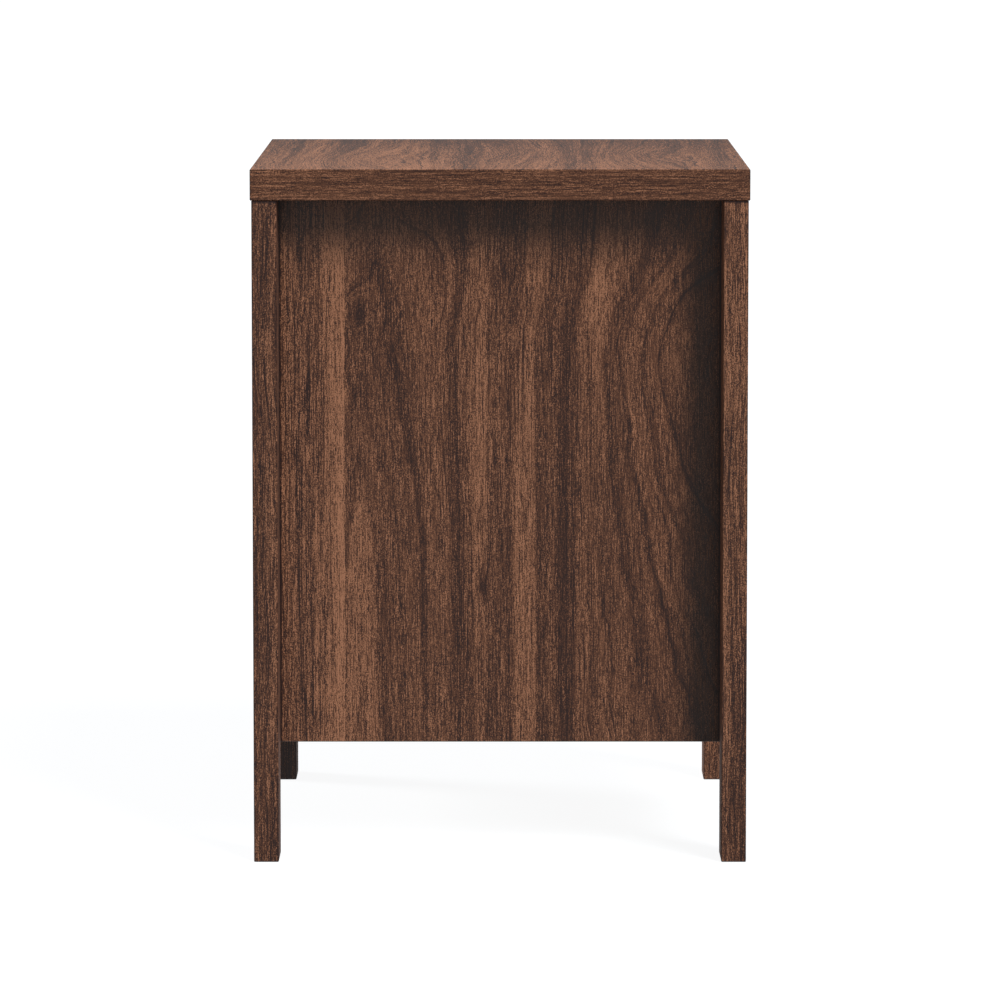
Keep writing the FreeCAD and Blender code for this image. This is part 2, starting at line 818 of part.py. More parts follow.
def channel(level):
    track = track_levels[level]
    name = level + "_right_channel"
    body = new_body(name, ("side_inner_x", "channel_start_y", track))
    depth = "channel_depth"
    inner = "(channel_depth - steel_gauge)"
    top = "channel_inside"
    outside_top = "(channel_inside + steel_gauge)"
    sketch = sketch_across(body, "y", "channel_start_y")
    add_polygon(
        sketch,
        [
            ("0", "-steel_gauge"),
            ("0", outside_top),
            ("-" + depth, outside_top),
            ("-" + depth, top),
            ("-steel_gauge", top),
            ("-steel_gauge", "0"),
            ("-" + inner, "0"),
            ("-" + inner, "channel_lip_height"),
            ("-" + depth, "channel_lip_height"),
            ("-" + depth, "-steel_gauge"),
        ],
    )
    pad(body, "y", sketch, "box_length")
    bend(
        body,
        [
            (("0", outside_top), ("-steel_gauge", top)),
            (("0", "-steel_gauge"), ("-steel_gauge", "0")),
            (("-" + depth, "-steel_gauge"), ("-" + inner, "0")),
        ],
    )
    cut(
        body,
        "y",
        "channel_start_y",
        1,
        ("side_inner_x - channel_depth", track + " + channel_inside"),
        ("side_inner_x - steel_gauge - bend_radius", track + " + " + outside_top),
        "channel_notch_length",
    )
    slots = sketch_across(body, "x", "side_inner_x")
    for number, screw_y in enumerate(runner_screw_ys):
        centre = (within(body, "y", screw_y), "slot_middle_rise")
        add_slot(slots, centre, "slot_length", "slot_width", upright=number == 0)
    pocket(body, "x", slots, "steel_gauge", -1)
    pin_place = ("front_roller_y", track + " + roller_axis_rise")
    drill(body, "x", "side_inner_x", -1, [pin_place], "pin_tail_diameter + drill_fit", "steel_gauge")
    tabs = sketch_across(body, "z", track)
    stop_far = within(body, "y", "rear_roller_y - runner_travel - stop_reach - track_play")
    add_rectangle(tabs, ("-roller_far", stop_far + " - stop_length"), ("-roller_near", stop_far))
    pad(body, "z", tabs, "stop_height")
    wall = sketch_across(body, "z", track)
    wall_start = within(body, "y", "rear_roller_y + roller_diameter / 2 + track_play")
    add_rectangle(wall, ("-" + inner, wall_start), ("-steel_gauge", wall_start + " + steel_gauge"))
    pad(body, "z", wall, "rear_stop_height")
    return body


# Drawer rails: strip folded to a Z under the drawer's side. The lower flange carries the side, the web
# stands beside it and the upper flange runs on the cabinet's roller, with a lip that hangs outside it.


def drawer_rail(level):
    track = track_levels[level]
    name = level + "_right_rail"
    body = new_body(name, ("side_inner_x", "front_rear_y", track))
    web_far = "runner_gap"
    web_near = "(runner_gap - steel_gauge)"
    lip_near = "(steel_gauge + rail_edge_gap)"
    lip_far = "(2 * steel_gauge + rail_edge_gap)"
    under = "rail_under_rise"
    over = "(rail_under_rise + steel_gauge)"
    low = "(track_drop - steel_gauge)"
    flange = "(runner_gap + box_wall)"
    sketch = sketch_across(body, "y", "front_rear_y")
    add_polygon(
        sketch,
        [
            ("-" + flange, low),
            ("-" + flange, "track_drop"),
            ("-" + web_far, "track_drop"),
            ("-" + web_far, over),
            ("-" + lip_near, over),
            ("-" + lip_near, under + " - rail_lip_height"),
            ("-" + lip_far, under + " - rail_lip_height"),
            ("-" + lip_far, under),
            ("-" + web_near, under),
            ("-" + web_near, low),
        ],
    )
    pad(body, "y", sketch, "box_length")
    bend(
        body,
        [
            (("-" + lip_near, over), ("-" + lip_far, under)),
            (("-" + web_far, over), ("-" + web_near, under)),
            (("-" + web_near, low), ("-" + web_far, "track_drop")),
        ],
    )
    screw_x = "side_inner_x - runner_gap - box_wall / 2"
    places = [(screw_x, screw_y) for screw_y in runner_screw_ys]
    flange_low = track + " + " + low
    drill(body, "z", flange_low, 1, places, "runner_screw_diameter + drill_fit", "steel_gauge")
    pin_place = ("rear_roller_y", track + " + roller_axis_rise")
    pin_face = "side_inner_x - runner_gap + steel_gauge"
    drill(body, "x", pin_face, -1, [pin_place], "pin_tail_diameter + drill_fit", "steel_gauge")
    return body


# Roller pins: a collar that stands the roller off the strip, the journal, a head that keeps the roller on
# and a thin tail riveted through the strip.


def roller_pin(name, standoff):
    journal_top = standoff + " + roller_width + roller_side_gap"
    head_top = journal_top + " + pin_head_thickness"
    return turned(
        name,
        [
            ("0", "-steel_gauge"),
            ("pin_tail_diameter / 2", "-steel_gauge"),
            ("pin_tail_diameter / 2", "0"),
            ("pin_collar_diameter / 2", "0"),
            ("pin_collar_diameter / 2", standoff + " - roller_side_gap"),
            ("pin_diameter / 2", standoff + " - roller_side_gap"),
            ("pin_diameter / 2", journal_top),
            ("pin_collar_diameter / 2", journal_top),
            ("pin_collar_diameter / 2", head_top),
            ("0", head_top),
        ],
    )


channel_pin = roller_pin("channel_pin", "roller_near - steel_gauge")
rail_pin = roller_pin("rail_pin", "runner_gap - steel_gauge - roller_far")

# Rollers: moulded wheels with a running fit on their pins and a recess between hub and rim on the face
# that shows.

roller_bore = "pin_diameter / 2 + running_fit"
hub_radius = roller_bore + " + roller_hub_wall"
rim_radius = "roller_diameter / 2 - roller_rim"
roller = turned(
    "roller",
    [
        (roller_bore, "0"),
        ("roller_diameter / 2 - roller_edge_radius", "0"),
        ("roller_diameter / 2", "roller_edge_radius"),
        ("roller_diameter / 2", "roller_width - roller_edge_radius"),
        ("roller_diameter / 2 - roller_edge_radius", "roller_width"),
        (rim_radius, "roller_width"),
        (rim_radius, "roller_width - roller_recess_depth"),
        (hub_radius, "roller_width - roller_recess_depth"),
        (hub_radius, "roller_width"),
        (roller_bore, "roller_width"),
    ],
)

channel_pin_places = []
for level in ("lower", "upper"):
    axis_z = track_levels[level] + " + roller_axis_rise"
    right_channel = channel(level)
    left_channel = mirrored(level + "_left_channel", right_channel, rightward)
    channel_pin_places.append(("side_inner_x - steel_gauge", "front_roller_y", axis_z))
    start = ("side_inner_x - roller_near", "front_roller_y", axis_z)
    right_roller = group(level + "_right_front_roller", placed(roller, [start], leftward))
    left_roller = mirrored(level + "_left_front_roller", right_roller, rightward)
    sub_parts += [right_channel, left_channel, right_roller, left_roller]
channel_pins = both_sides("channel_pins", placed(channel_pin, channel_pin_places, leftward))
sub_parts.append(channel_pins)

# Drawers. The front fills its opening but for the reveal and is screwed to a box of four thin walls, with
# a sheet for a bottom in grooves all round. The front's top edge is scooped out for the fingers.

front_screw = pan_screw(
    "front_screw",
    "front_screw_diameter",
    "front_screw_length",
    "front_screw_head_diameter",
    "front_screw_head_thickness",
)


def front_screw_places(box_low):
    heights = (box_low + " + front_screw_rise", box_low + " + box_height - front_screw_rise")
    return [(sign + "front_screw_x", height) for sign in ("-", "") for height in heights]


def scoop_rims(body, ends, bottom_z, top_z):
    """The names of the edges where the scoop meets the front's outer and inner face."""
    near = value("arris") / 2
    names = []
    for number, edge in enumerate(body.Tip.Shape.Edges):
        box = edge.BoundBox
        on_face = box.YLength < near
        inside = box.XMin > ends[0] - near and box.XMax < ends[1] + near
        low_enough = edge.Curve.TypeId != "Part::GeomLine" or box.ZMax < top_z
        at_scoop = inside and box.ZMin > bottom_z - near and low_enough
        long_enough = box.ZLength + box.XLength > value("arris") * 2
        if on_face and at_scoop and long_enough:
            names.append("Edge" + str(number + 1))
    return names


def drawer_front(level):
    floor = opening_floors[level]
    top = floor + " + opening_height - reveal"
    body = board(
        level + "_drawer_front",
        ("reveal - side_inner_x", "-leg_outer_y", floor + " + reveal"),
        ("side_inner_x - reveal", "front_rear_y", top),
    )
    soften(body, "arris")
    scoop_low = "(" + top + ") - scoop_depth"
    cut(
        body,
        "y",
        "-leg_outer_y",
        1,
        ("-scoop_width / 2", scoop_low),
        ("scoop_width / 2", top),
        "front_thickness",
    )
    bottom_z, top_z = [value(within(body, "z", place)) for place in (scoop_low, top)]
    ends = [value(within(body, "x", sign + "scoop_width / 2")) for sign in ("-", "")]
    corner_places = [Vector(end, 0, bottom_z) for end in ends]
    names = edges_along(body.Tip.Shape, backward, corner_places)
    round_edges(body, names, "scoop_corner_radius")
    round_edges(body, scoop_rims(body, ends, bottom_z, top_z), "scoop_edge_radius")
    depth = "front_screw_length - box_wall + drill_spare"
    places = front_screw_places(floor + " + box_lift")
    drill(body, "y", "front_rear_y", -1, places, "front_screw_diameter + drill_fit", depth)
    return body


def drawer_side(level):
    """A side of the box, its edges broken as far as the fold of the rail under it needs."""
    low = opening_floors[level] + " + box_lift"
    high = low + " + box_height"
    inner_x = "box_half_width - box_wall"
    name = level + "_drawer_right_side"
    body = board(name, (inner_x, "front_rear_y", low), ("box_half_width", "box_rear_y", high))
    soften(body, "bend_radius")
    rebate_x = inner_x + " + rebate_depth"
    ends = [("front_rear_y", "front_rear_y + box_wall"), ("box_rear_y - box_wall", "box_rear_y")]
    for start_y, end_y in ends:
        cut(body, "z", low, 1, (inner_x, start_y), (rebate_x, end_y), "box_height")
    groove_low = low + " + drawer_bottom_rise"
    cut(
        body,
        "x",
        inner_x,
        1,
        ("front_rear_y", groove_low),
        ("box_rear_y", groove_low + " + drawer_bottom_thickness + groove_fit"),
        "drawer_groove_depth",
    )
    places = [("box_half_width - box_wall / 2", screw_y) for screw_y in runner_screw_ys]
    depth = "rail_screw_length - steel_gauge + drill_spare"
    drill(body, "z", low, 1, places, "runner_screw_diameter + drill_fit", depth)
    return body


def drawer_end(level, name, front_y, groove_face, along):
    """The inner front or the back of the box, which sits in the rebates of the sides."""
    low = opening_floors[level] + " + box_lift"
    half = "(box_half_width - box_wall + rebate_depth)"
    body = board(
        name,
        ("-" + half, front_y, low),
        (half, front_y + " + box_wall", low + " + box_height"),
    )
    groove_low = low + " + drawer_bottom_rise"
    cut(
        body,
        "y",
        groove_face,
        along,
        ("-" + half, groove_low),
        (half, groove_low + " + drawer_bottom_thickness + groove_fit"),
        "drawer_groove_depth",
    )
    return body


def drawer(level):
    low = opening_floors[level] + " + box_lift"
    prefix = level + "_drawer_"
    front = drawer_front(level)
    right_side = drawer_side(level)
    left_side = mirrored(prefix + "left_side", right_side, rightward)
    inner_face = "front_rear_y + box_wall"
    inner_front = drawer_end(level, prefix + "inner_front", "front_rear_y", inner_face, -1)
    places = front_screw_places(low)
    hole = "front_screw_diameter + drill_fit"
    drill(inner_front, "y", "front_rear_y", 1, places, hole, "box_wall")
    back_face = "box_rear_y - box_wall"
    back = drawer_end(level, prefix + "back", back_face, back_face, 1)
    reach = "drawer_groove_depth - groove_fit"
    bottom_low = low + " + drawer_bottom_rise + groove_fit / 2"
    bottom = board(
        prefix + "bottom",
        (
            "box_wall - box_half_width - (" + reach + ")",
            inner_face + " - (" + reach + ")",
            bottom_low,
        ),
        (
            "box_half_width - box_wall + " + reach,
            back_face + " + " + reach,
            bottom_low + " + drawer_bottom_thickness",
        ),
    )
    front_starts = [(x, inner_face, z) for x, z in places]
    front_screws = group(prefix + "front_screws", placed(front_screw, front_starts, forward))
    right_rail = drawer_rail(level)
    left_rail = mirrored(level + "_left_rail", right_rail, rightward)
    track = track_levels[level]
    screw_x = "box_half_width - box_wall / 2"
    rail_starts = [(screw_x, y, track + " + track_drop - steel_gauge") for y in runner_screw_ys]
    rail_screws = both_sides(level + "_rail_screws", placed(rail_screw, rail_starts, upward))
    axis_z = track + " + roller_axis_rise"
    pin_start = ("box_half_width + steel_gauge", "rear_roller_y", axis_z)
    rail_pins = both_sides(level + "_rail_pins", placed(rail_pin, [pin_start], rightward))
    roller_start = ("side_inner_x - roller_far", "rear_roller_y", axis_z)
    right_roller = group(level + "_right_rear_roller", placed(roller, [roller_start], rightward))
    left_roller = mirrored(level + "_left_rear_roller", right_roller, rightward)
    return [
        front,
        inner_front,
        right_side,
        left_side,
        back,
        bottom,
        front_screws,
        right_rail,
        left_rail,
        rail_screws,
        rail_pins,
        right_roller,
        left_roller,
    ]


for level in ("lower", "upper"):
    sub_parts += drawer(level)

# Test of every object and sub-part, then one file for each sub-part.

doc.recompute()
for item in doc.Objects:
    if "Invalid" in item.State or "Error" in item.State:
        raise ValueError(item.Name + " failed: " + str(item.State))
for item in sub_parts:
    item.Label = item.Name
    if item.Shape.isNull() or not item.Shape.isValid():
        raise ValueError(item.Label + " has no valid shape")

os.makedirs("parts", exist_ok=True)
for item in sub_parts:
    item.Shape.exportStep("parts/" + item.Label + ".step")
print(len(sub_parts), "sub-parts written")
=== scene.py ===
import math

import bmesh
import bpy
from mathutils import Matrix, Vector


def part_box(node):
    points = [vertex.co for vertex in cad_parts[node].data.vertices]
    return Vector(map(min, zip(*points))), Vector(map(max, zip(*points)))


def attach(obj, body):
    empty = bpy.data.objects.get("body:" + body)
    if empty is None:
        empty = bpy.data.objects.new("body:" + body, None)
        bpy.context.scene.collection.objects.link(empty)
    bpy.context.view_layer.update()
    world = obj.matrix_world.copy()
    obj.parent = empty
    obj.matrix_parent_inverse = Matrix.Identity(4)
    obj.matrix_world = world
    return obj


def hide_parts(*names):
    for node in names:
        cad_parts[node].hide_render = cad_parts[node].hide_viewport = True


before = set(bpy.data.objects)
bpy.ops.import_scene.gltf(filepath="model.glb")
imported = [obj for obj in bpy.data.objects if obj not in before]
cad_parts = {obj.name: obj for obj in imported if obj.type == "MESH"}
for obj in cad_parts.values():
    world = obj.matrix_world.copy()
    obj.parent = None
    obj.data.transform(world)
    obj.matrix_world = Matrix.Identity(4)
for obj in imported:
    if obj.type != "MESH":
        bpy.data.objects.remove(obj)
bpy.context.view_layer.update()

# A two-drawer nightstand in dark walnut, on four straight legs. Its drawers open along -Y, so the side that
# faces +X is the plain one that shows two legs, a panel between them and one edge of the top.

# Side panels: boards faced with crown-cut walnut veneer, laid with the grain upright in two leaves that
# meet in a straight joint. They are stained dark and finished with a satin lacquer.


def feed(tree, node, sources):
    """Gives each input of a node a value, or wires it to another node's output."""
    for name, source in sources.items():
        if isinstance(source, bpy.types.NodeSocket):
            tree.links.new(source, node.inputs[name])
        else:
            node.inputs[name].default_value = source


def add_node(tree, kind, sources=None, **settings):
    """A node with its settings made and its inputs fed."""
    node = tree.nodes.new(kind)
    for name, setting in settings.items():
        setattr(node, name, setting)
    feed(tree, node, sources or {})
    return node


def maths(tree, operation, first, second=0.0, third=0.0):
    """The result of one sum on numbers or on other nodes' outputs."""
    node = add_node(tree, "ShaderNodeMath", {0: first, 1: second, 2: third}, operation=operation)
    return node.outputs[0]


def noise(tree, place, scale, detail):
    """Cloudy noise from 0 to 1."""
    sources = {"Vector": place, "Scale": scale, "Detail": detail}
    return add_node(tree, "ShaderNodeTexNoise", sources).outputs["Fac"]


def place_at(tree, along, across, depth):
    """A place made of its three coordinates."""
    return add_node(tree, "ShaderNodeCombineXYZ", {"X": along, "Y": across, "Z": depth}).outputs[0]


def grain_noise(tree, along, across, along_pitch, pitch, seed, detail):
    """Noise from -0.5 to 0.5 drawn out along the grain, with its pitch along and across it in metres."""
    far_along = maths(tree, "DIVIDE", along, along_pitch)
    far_across = maths(tree, "DIVIDE", across, pitch)
    clouds = noise(tree, place_at(tree, far_along, far_across, seed), scale=1.0, detail=detail)
    return maths(tree, "SUBTRACT", clouds, 0.5)


def blend_colours(tree, share, first, second):
    """The first colour where the share is 0, and the second where it is 1."""
    return add_node(tree, "ShaderNodeMix", {0: share, 6: first, 7: second}, data_type="RGBA").outputs[2]


def blend_values(tree, share, first, second):
    """The first value where the share is 0, and the second where it is 1."""
    return add_node(tree, "ShaderNodeMix", {0: share, 2: first, 3: second}).outputs[0]


def between(tree, value, low, high):
    """0 at or below low, 1 at or above high, and straight between them."""
    sources = {"Value": value, "From Min": low, "From Max": high, "To Min": 0.0, "To Max": 1.0}
    return add_node(tree, "ShaderNodeMapRange", sources).outputs[0]


def shade_by(tree, pattern, low, high, first, second):
    """The first colour where a pattern is at or below low, and the second where it is at or above high."""
    return blend_colours(tree, between(tree, pattern, low, high), first, second)


def new_group(name, inputs, outputs):
    """An empty node group with its sockets, given as name: (kind, value), and its input and output nodes."""
    tree = bpy.data.node_groups.new(name, "ShaderNodeTree")
    for socket, (kind, start) in inputs.items():
        made = tree.interface.new_socket(socket, in_out="INPUT", socket_type="NodeSocket" + kind)
        if start is not None:
            made.default_value = start
    for socket, kind in outputs.items():
        tree.interface.new_socket(socket, in_out="OUTPUT", socket_type="NodeSocket" + kind)
    return tree, tree.nodes.new("NodeGroupInput").outputs, tree.nodes.new("NodeGroupOutput").inputs


def add_group(tree, group, sources):
    """A node group placed in a tree with its own values."""
    return add_node(tree, "ShaderNodeGroup", sources, node_tree=group)


def make_swelling():
    """How far a swelling, as round a knot, shifts the growth lines, or a patch shifts their tone."""
    inputs = {
        "Along": ("Float", 0.0),
        "Across": ("Float", 0.0),
        "Centre Along": ("Float", 0.0),
        "Centre Across": ("Float", 0.0),
        "Half Length": ("Float", 0.1),
        "Half Width": ("Float", 0.02),
        "Push": ("Float", 0.01),
    }
    tree, given, result = new_group("grain_swelling", inputs, {"Shift": "Float"})
    squares = []
    for way, size in (("Along", "Half Length"), ("Across", "Half Width")):
        away = maths(tree, "SUBTRACT", given[way], given["Centre " + way])
        share = maths(tree, "DIVIDE", away, given[size])
        squares.append(maths(tree, "MULTIPLY", share, share))
    total = maths(tree, "ADD", squares[0], squares[1])
    fall = maths(tree, "EXPONENT", maths(tree, "MULTIPLY", total, -1.0))
    tree.links.new(maths(tree, "MULTIPLY", fall, given["Push"]), result["Shift"])
    return tree


swelling = make_swelling()
ring_pitch = 0.0075
ring_wander = 2.5
middling_tone = 0.515
fibre_contrast = 1.65
lacquer_roughness = 0.32


def make_walnut_figure():
    """Bands, growth lines, fibres and pores of walnut, from places along and across the grain in metres."""
    inputs = {
        "Along": ("Float", 0.0),
        "Across": ("Float", 0.0),
        "Growth": ("Float", 0.0),
        "Tone": ("Float", 0.0),
        "Dark": ("Color", (0.009, 0.0012, 0.0002, 1)),
        "Middle": ("Color", (0.0765, 0.0277, 0.0125, 1)),
        "Light": ("Color", (0.295, 0.129, 0.067, 1)),
        "Band Strength": ("Float", 0.75),
        "Line Strength": ("Float", 0.6),
        "Ring Strength": ("Float", 0.5),
        "Fibre Strength": ("Float", 1.0),
    }
    outputs = {"Color": "Color", "Roughness": "Float", "Height": "Float"}
    tree, given, result = new_group("walnut_figure", inputs, outputs)

    def layer(follows, pitch, along_pitch, seed, detail=1.0):
        """Grain noise that follows either the growth lines or the place across the board."""
        return grain_noise(tree, given["Along"], given[follows], along_pitch, pitch, seed, detail)

    bands = layer("Growth", pitch=0.030, along_pitch=0.9, seed=3.1)
    streaks = layer("Growth", pitch=0.0085, along_pitch=0.45, seed=11.7)
    lines = layer("Growth", pitch=0.0025, along_pitch=0.20, seed=5.3)
    ring_sway = layer("Growth", pitch=0.0300, along_pitch=0.55, seed=21.4)
    ring_strength = layer("Growth", pitch=0.0200, along_pitch=0.10, seed=27.9)
    hairs = layer("Growth", pitch=0.0012, along_pitch=0.090, seed=17.2)
    hair_strength = layer("Growth", pitch=0.0140, along_pitch=0.12, seed=31.6)
    threads = layer("Across", pitch=0.0009, along_pitch=0.024, seed=8.9, detail=2.0)
    flecks = layer("Across", pitch=0.0007, along_pitch=0.0045, seed=2.2)
    pores = layer("Across", pitch=0.0006, along_pitch=0.0070, seed=14.5)
    specks = layer("Across", pitch=0.0007, along_pitch=0.0011, seed=19.8)
    coarseness = layer("Across", pitch=0.0050, along_pitch=0.030, seed=41.3)
    ring_place = maths(tree, "DIVIDE", given["Growth"], ring_pitch)
    ring_place = maths(tree, "MULTIPLY_ADD", ring_sway, ring_wander, ring_place)
    ring_share = maths(tree, "FRACT", ring_place)
    slow_rise = maths(tree, "POWER", ring_share, 3.0)
    steep_rise = maths(tree, "POWER", ring_share, 18.0)
    late_wood = maths(tree, "MULTIPLY_ADD", slow_rise, 0.45, steep_rise)
    sources = {"W": maths(tree, "FLOOR", ring_place)}
    ring_depth = add_node(tree, "ShaderNodeTexWhiteNoise", sources, noise_dimensions="1D").outputs["Value"]
    ring_depth = maths(tree, "MULTIPLY", ring_depth, between(tree, ring_strength, -0.12, 0.12))
    rings = maths(tree, "MULTIPLY", late_wood, ring_depth)
    hair_depth = between(tree, hair_strength, -0.15, 0.15)
    hair_lines = maths(tree, "MULTIPLY", between(tree, hairs, 0.04, 0.22), hair_depth)
    pore_depth = between(tree, pores, 0.08, 0.22)
    tone = maths(tree, "ADD", given["Tone"], middling_tone)
    tone = maths(tree, "MULTIPLY_ADD", bands, given["Band Strength"], tone)
    line_parts = ((streaks, 0.55), (lines, 1.1), (hair_lines, -1.2))
    ring_parts = ((rings, -1.0),)
    fibre_parts = ((threads, 1.35), (flecks, 0.95), (pore_depth, -0.42), (specks, 1.75))
    fibre_share = between(tree, coarseness, -0.65, 0.25)
    fibre_strength = maths(tree, "MULTIPLY", given["Fibre Strength"], fibre_share)
    fibre_strength = maths(tree, "MULTIPLY", fibre_strength, fibre_contrast)
    layers = (
        (line_parts, given["Line Strength"]),
        (ring_parts, given["Ring Strength"]),
        (fibre_parts, fibre_strength),
    )
    for parts, strength in layers:
        for part, share in parts:
            tone = maths(tree, "MULTIPLY_ADD", maths(tree, "MULTIPLY", part, share), strength, tone)
    darker = shade_by(tree, tone, 0.0, 0.5, given["Dark"], given["Middle"])
    tree.links.new(shade_by(tree, tone, 0.5, 1.0, darker, given["Light"]), result["Color"])
    rough = maths(tree, "MULTIPLY_ADD", pore_depth, 0.15, lacquer_roughness)
    tree.links.new(maths(tree, "MULTIPLY_ADD", threads, 0.2, rough), result["Roughness"])
    relief = maths(tree, "MULTIPLY_ADD", pore_depth, -1.0, maths(tree, "MULTIPLY", threads, 0.5))
    tree.links.new(relief, result["Height"])
    return tree


walnut_figure = make_walnut_figure()


def new_material(name):
    """An empty material with its tree and its Principled node."""
    material = bpy.data.materials.new(name)
    material.use_nodes = True
    tree = material.node_tree
    return material, tree, tree.nodes["Principled BSDF"]


def whole_place(tree):
    """A place on the nightstand, in metres."""
    return tree.nodes.new("ShaderNodeTexCoord").outputs["Object"]


def object_place(tree):
    """The X, Y and Z of a place on the nightstand."""
    return add_node(tree, "ShaderNodeSeparateXYZ", {"Vector": whole_place(tree)}).outputs


def faces_along(tree, axis):
    """1 on the faces that look along an axis, 0 on the others."""
    normal = tree.nodes.new("ShaderNodeTexCoord").outputs["Normal"]
    part = add_node(tree, "ShaderNodeSeparateXYZ", {"Vector": normal}).outputs[axis]
    return maths(tree, "GREATER_THAN", maths(tree, "ABSOLUTE", part), 0.7)


def swell(tree, growth, along, across, swellings):
    """Growth lines or tones shifted by swellings: centre along and across, half length and width, shift."""
    for centre_along, centre_across, half_length, half_width, push in swellings:
        sources = {
            "Along": along,
            "Across": across,
            "Centre Along": centre_along,
            "Centre Across": centre_across,
            "Half Length": half_length,
            "Half Width": half_width,
            "Push": push,
        }
        growth = maths(tree, "ADD", growth, add_group(tree, swelling, sources).outputs[0])
    return growth


def stepped(tree, place, stops):
    """A value that runs smoothly through stops, each a place and a value."""
    places, values = zip(*stops)
    low, high = min(values), max(values)
    share = between(tree, place, places[0], places[-1])
    ramp = tree.nodes.new("ShaderNodeValToRGB")
    tree.links.new(share, ramp.inputs[0])
    elements = ramp.color_ramp.elements
    ramp.color_ramp.interpolation = "EASE"
    for stop in places[1:-1]:
        elements.new((stop - places[0]) / (places[-1] - places[0]))
    for element, value in zip(elements, values):
        grey = (value - low) / (high - low)
        element.color = (grey, grey, grey, 1.0)
    return maths(tree, "MULTIPLY_ADD", ramp.outputs[0], high - low, low)


def give(material, *nodes):
    """Lays the material on CAD nodes."""
    for name in nodes:
        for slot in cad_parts[name].material_slots:
            slot.material = material


def add_relief(tree, shader, height, strength, depth):
    """Fine relief on a surface, from a height of 0 to 1 and a depth in metres."""
    bump = add_node(tree, "ShaderNodeBump", {"Height": height, "Strength": strength, "Distance": depth})
    tree.links.new(bump.outputs[0], shader.inputs["Normal"])


def lay_figure(tree, shader, figure, strength, depth):
    """Wires the colour, roughness and relief of a wood's figure to the shader."""
    feed(tree, shader, {"Base Color": figure.outputs["Color"], "Roughness": figure.outputs["Roughness"]})
    add_relief(tree, shader, figure.outputs["Height"], strength, depth)


lacquer_gloss = 0.23
lacquer_relief = 0.00002


def finish_walnut(tree, shader, figure):
    """Walnut under a satin lacquer that the pores show through."""
    lay_figure(tree, shader, figure, strength=0.6, depth=lacquer_relief)
    shader.inputs["Specular IOR Level"].default_value = lacquer_gloss


leaf_joint_y = -0.1259
pith_y = -0.113
pith_width = 0.004
crown_half_width = 0.054
crown_lifts = [
    # height, how far the growth lines arch over the pith
    (0.090, 0.000),
    (0.170, 0.003),
    (0.250, 0.007),
    (0.280, 0.012),
    (0.305, 0.0165),
    (0.320, 0.021),
    (0.370, 0.029),
    (0.435, 0.037),
    (0.476, 0.048),
    (0.540, 0.066),
]
pith_leans = [
    # height, how far the pith has moved along Y
    (0.090, 0.000),
    (0.420, 0.000),
    (0.480, 0.012),
    (0.540, 0.014),
]
fan_y = 0.063
fan_spreads = [
    # height, how close the growth lines lie beyond fan_y
    (0.090, 0.34),
    (0.165, 0.45),
    (0.250, 0.60),
    (0.330, 0.84),
    (0.400, 1.00),
    (0.440, 0.86),
    (0.500, 0.60),
    (0.540, 0.55),
]
leaf_bands = [
    # growth place, tone
    (0.000, 0.05),
    (0.0165, 0.12),
    (0.0205, -0.13),
    (0.0240, -0.04),
    (0.0310, -0.02),
    (0.0360, -0.10),
    (0.041, 0.00),
    (0.050, 0.00),
    (0.0535, -0.16),
    (0.058, 0.02),
    (0.069, 0.04),
    (0.078, -0.02),
    (0.0808, -0.12),
    (0.0835, 0.04),
    (0.093, 0.06),
    (0.100, 0.02),
    (0.105, -0.04),
    (0.1195, 0.00),
    (0.1212, -0.16),
    (0.1235, 0.04),
    (0.1270, 0.09),
    (0.1400, 0.09),
    (0.1436, -0.16),
    (0.1550, -0.12),
    (0.1650, -0.20),
    (0.1740, -0.14),
    (0.1765, 0.02),
]
fan_bands = [
    # growth place past the last of leaf_bands, what it adds to the tone
    (0.1765, 0.00),
    (0.1950, 0.01),
    (0.1985, -0.16),
    (0.2040, -0.02),
    (0.2085, 0.00),
    (0.2115, -0.18),
    (0.2150, 0.00),
    (0.2245, 0.02),
    (0.2275, -0.16),
    (0.2320, 0.00),
    (0.2430, 0.04),
    (0.2460, -0.20),
    (0.2510, 0.00),
    (0.2900, 0.04),
]
leaf_patches = [
    # centre along, centre across, half length, half width, tone
    (0.470, 0.078, 0.070, 0.013, 0.28),
    (0.455, -0.070, 0.045, 0.018, -0.06),
    (0.350, -0.015, 0.110, 0.0075, 0.34),
    (0.290, -0.112, 0.022, 0.011, 0.14),
    (0.441, -0.114, 0.011, 0.0065, -0.38),
    (0.400, -0.100, 0.040, 0.020, -0.06),
    (0.400, 0.132, 0.070, 0.014, 0.12),
    (0.474, 0.003, 0.008, 0.003, -0.40),
    (0.219, -0.014, 0.008, 0.003, -0.45),
    (0.230, 0.090, 0.110, 0.016, -0.10),
    (0.180, -0.113, 0.080, 0.012, 0.06),
    (0.150, 0.112, 0.070, 0.006, -0.12),
    (0.300, 0.130, 0.220, 0.035, -0.05),
    (0.300, -0.050, 0.200, 0.014, -0.04),
]
panel_swellings = [
    # centre along, centre across, half length, half width, shift of the growth lines
    (0.441, -0.114, 0.015, 0.009, -0.026),
    (0.415, 0.165, 0.050, 0.030, 0.022),
    (0.474, 0.003, 0.020, 0.007, 0.006),
    (0.219, -0.014, 0.020, 0.007, 0.004),
]
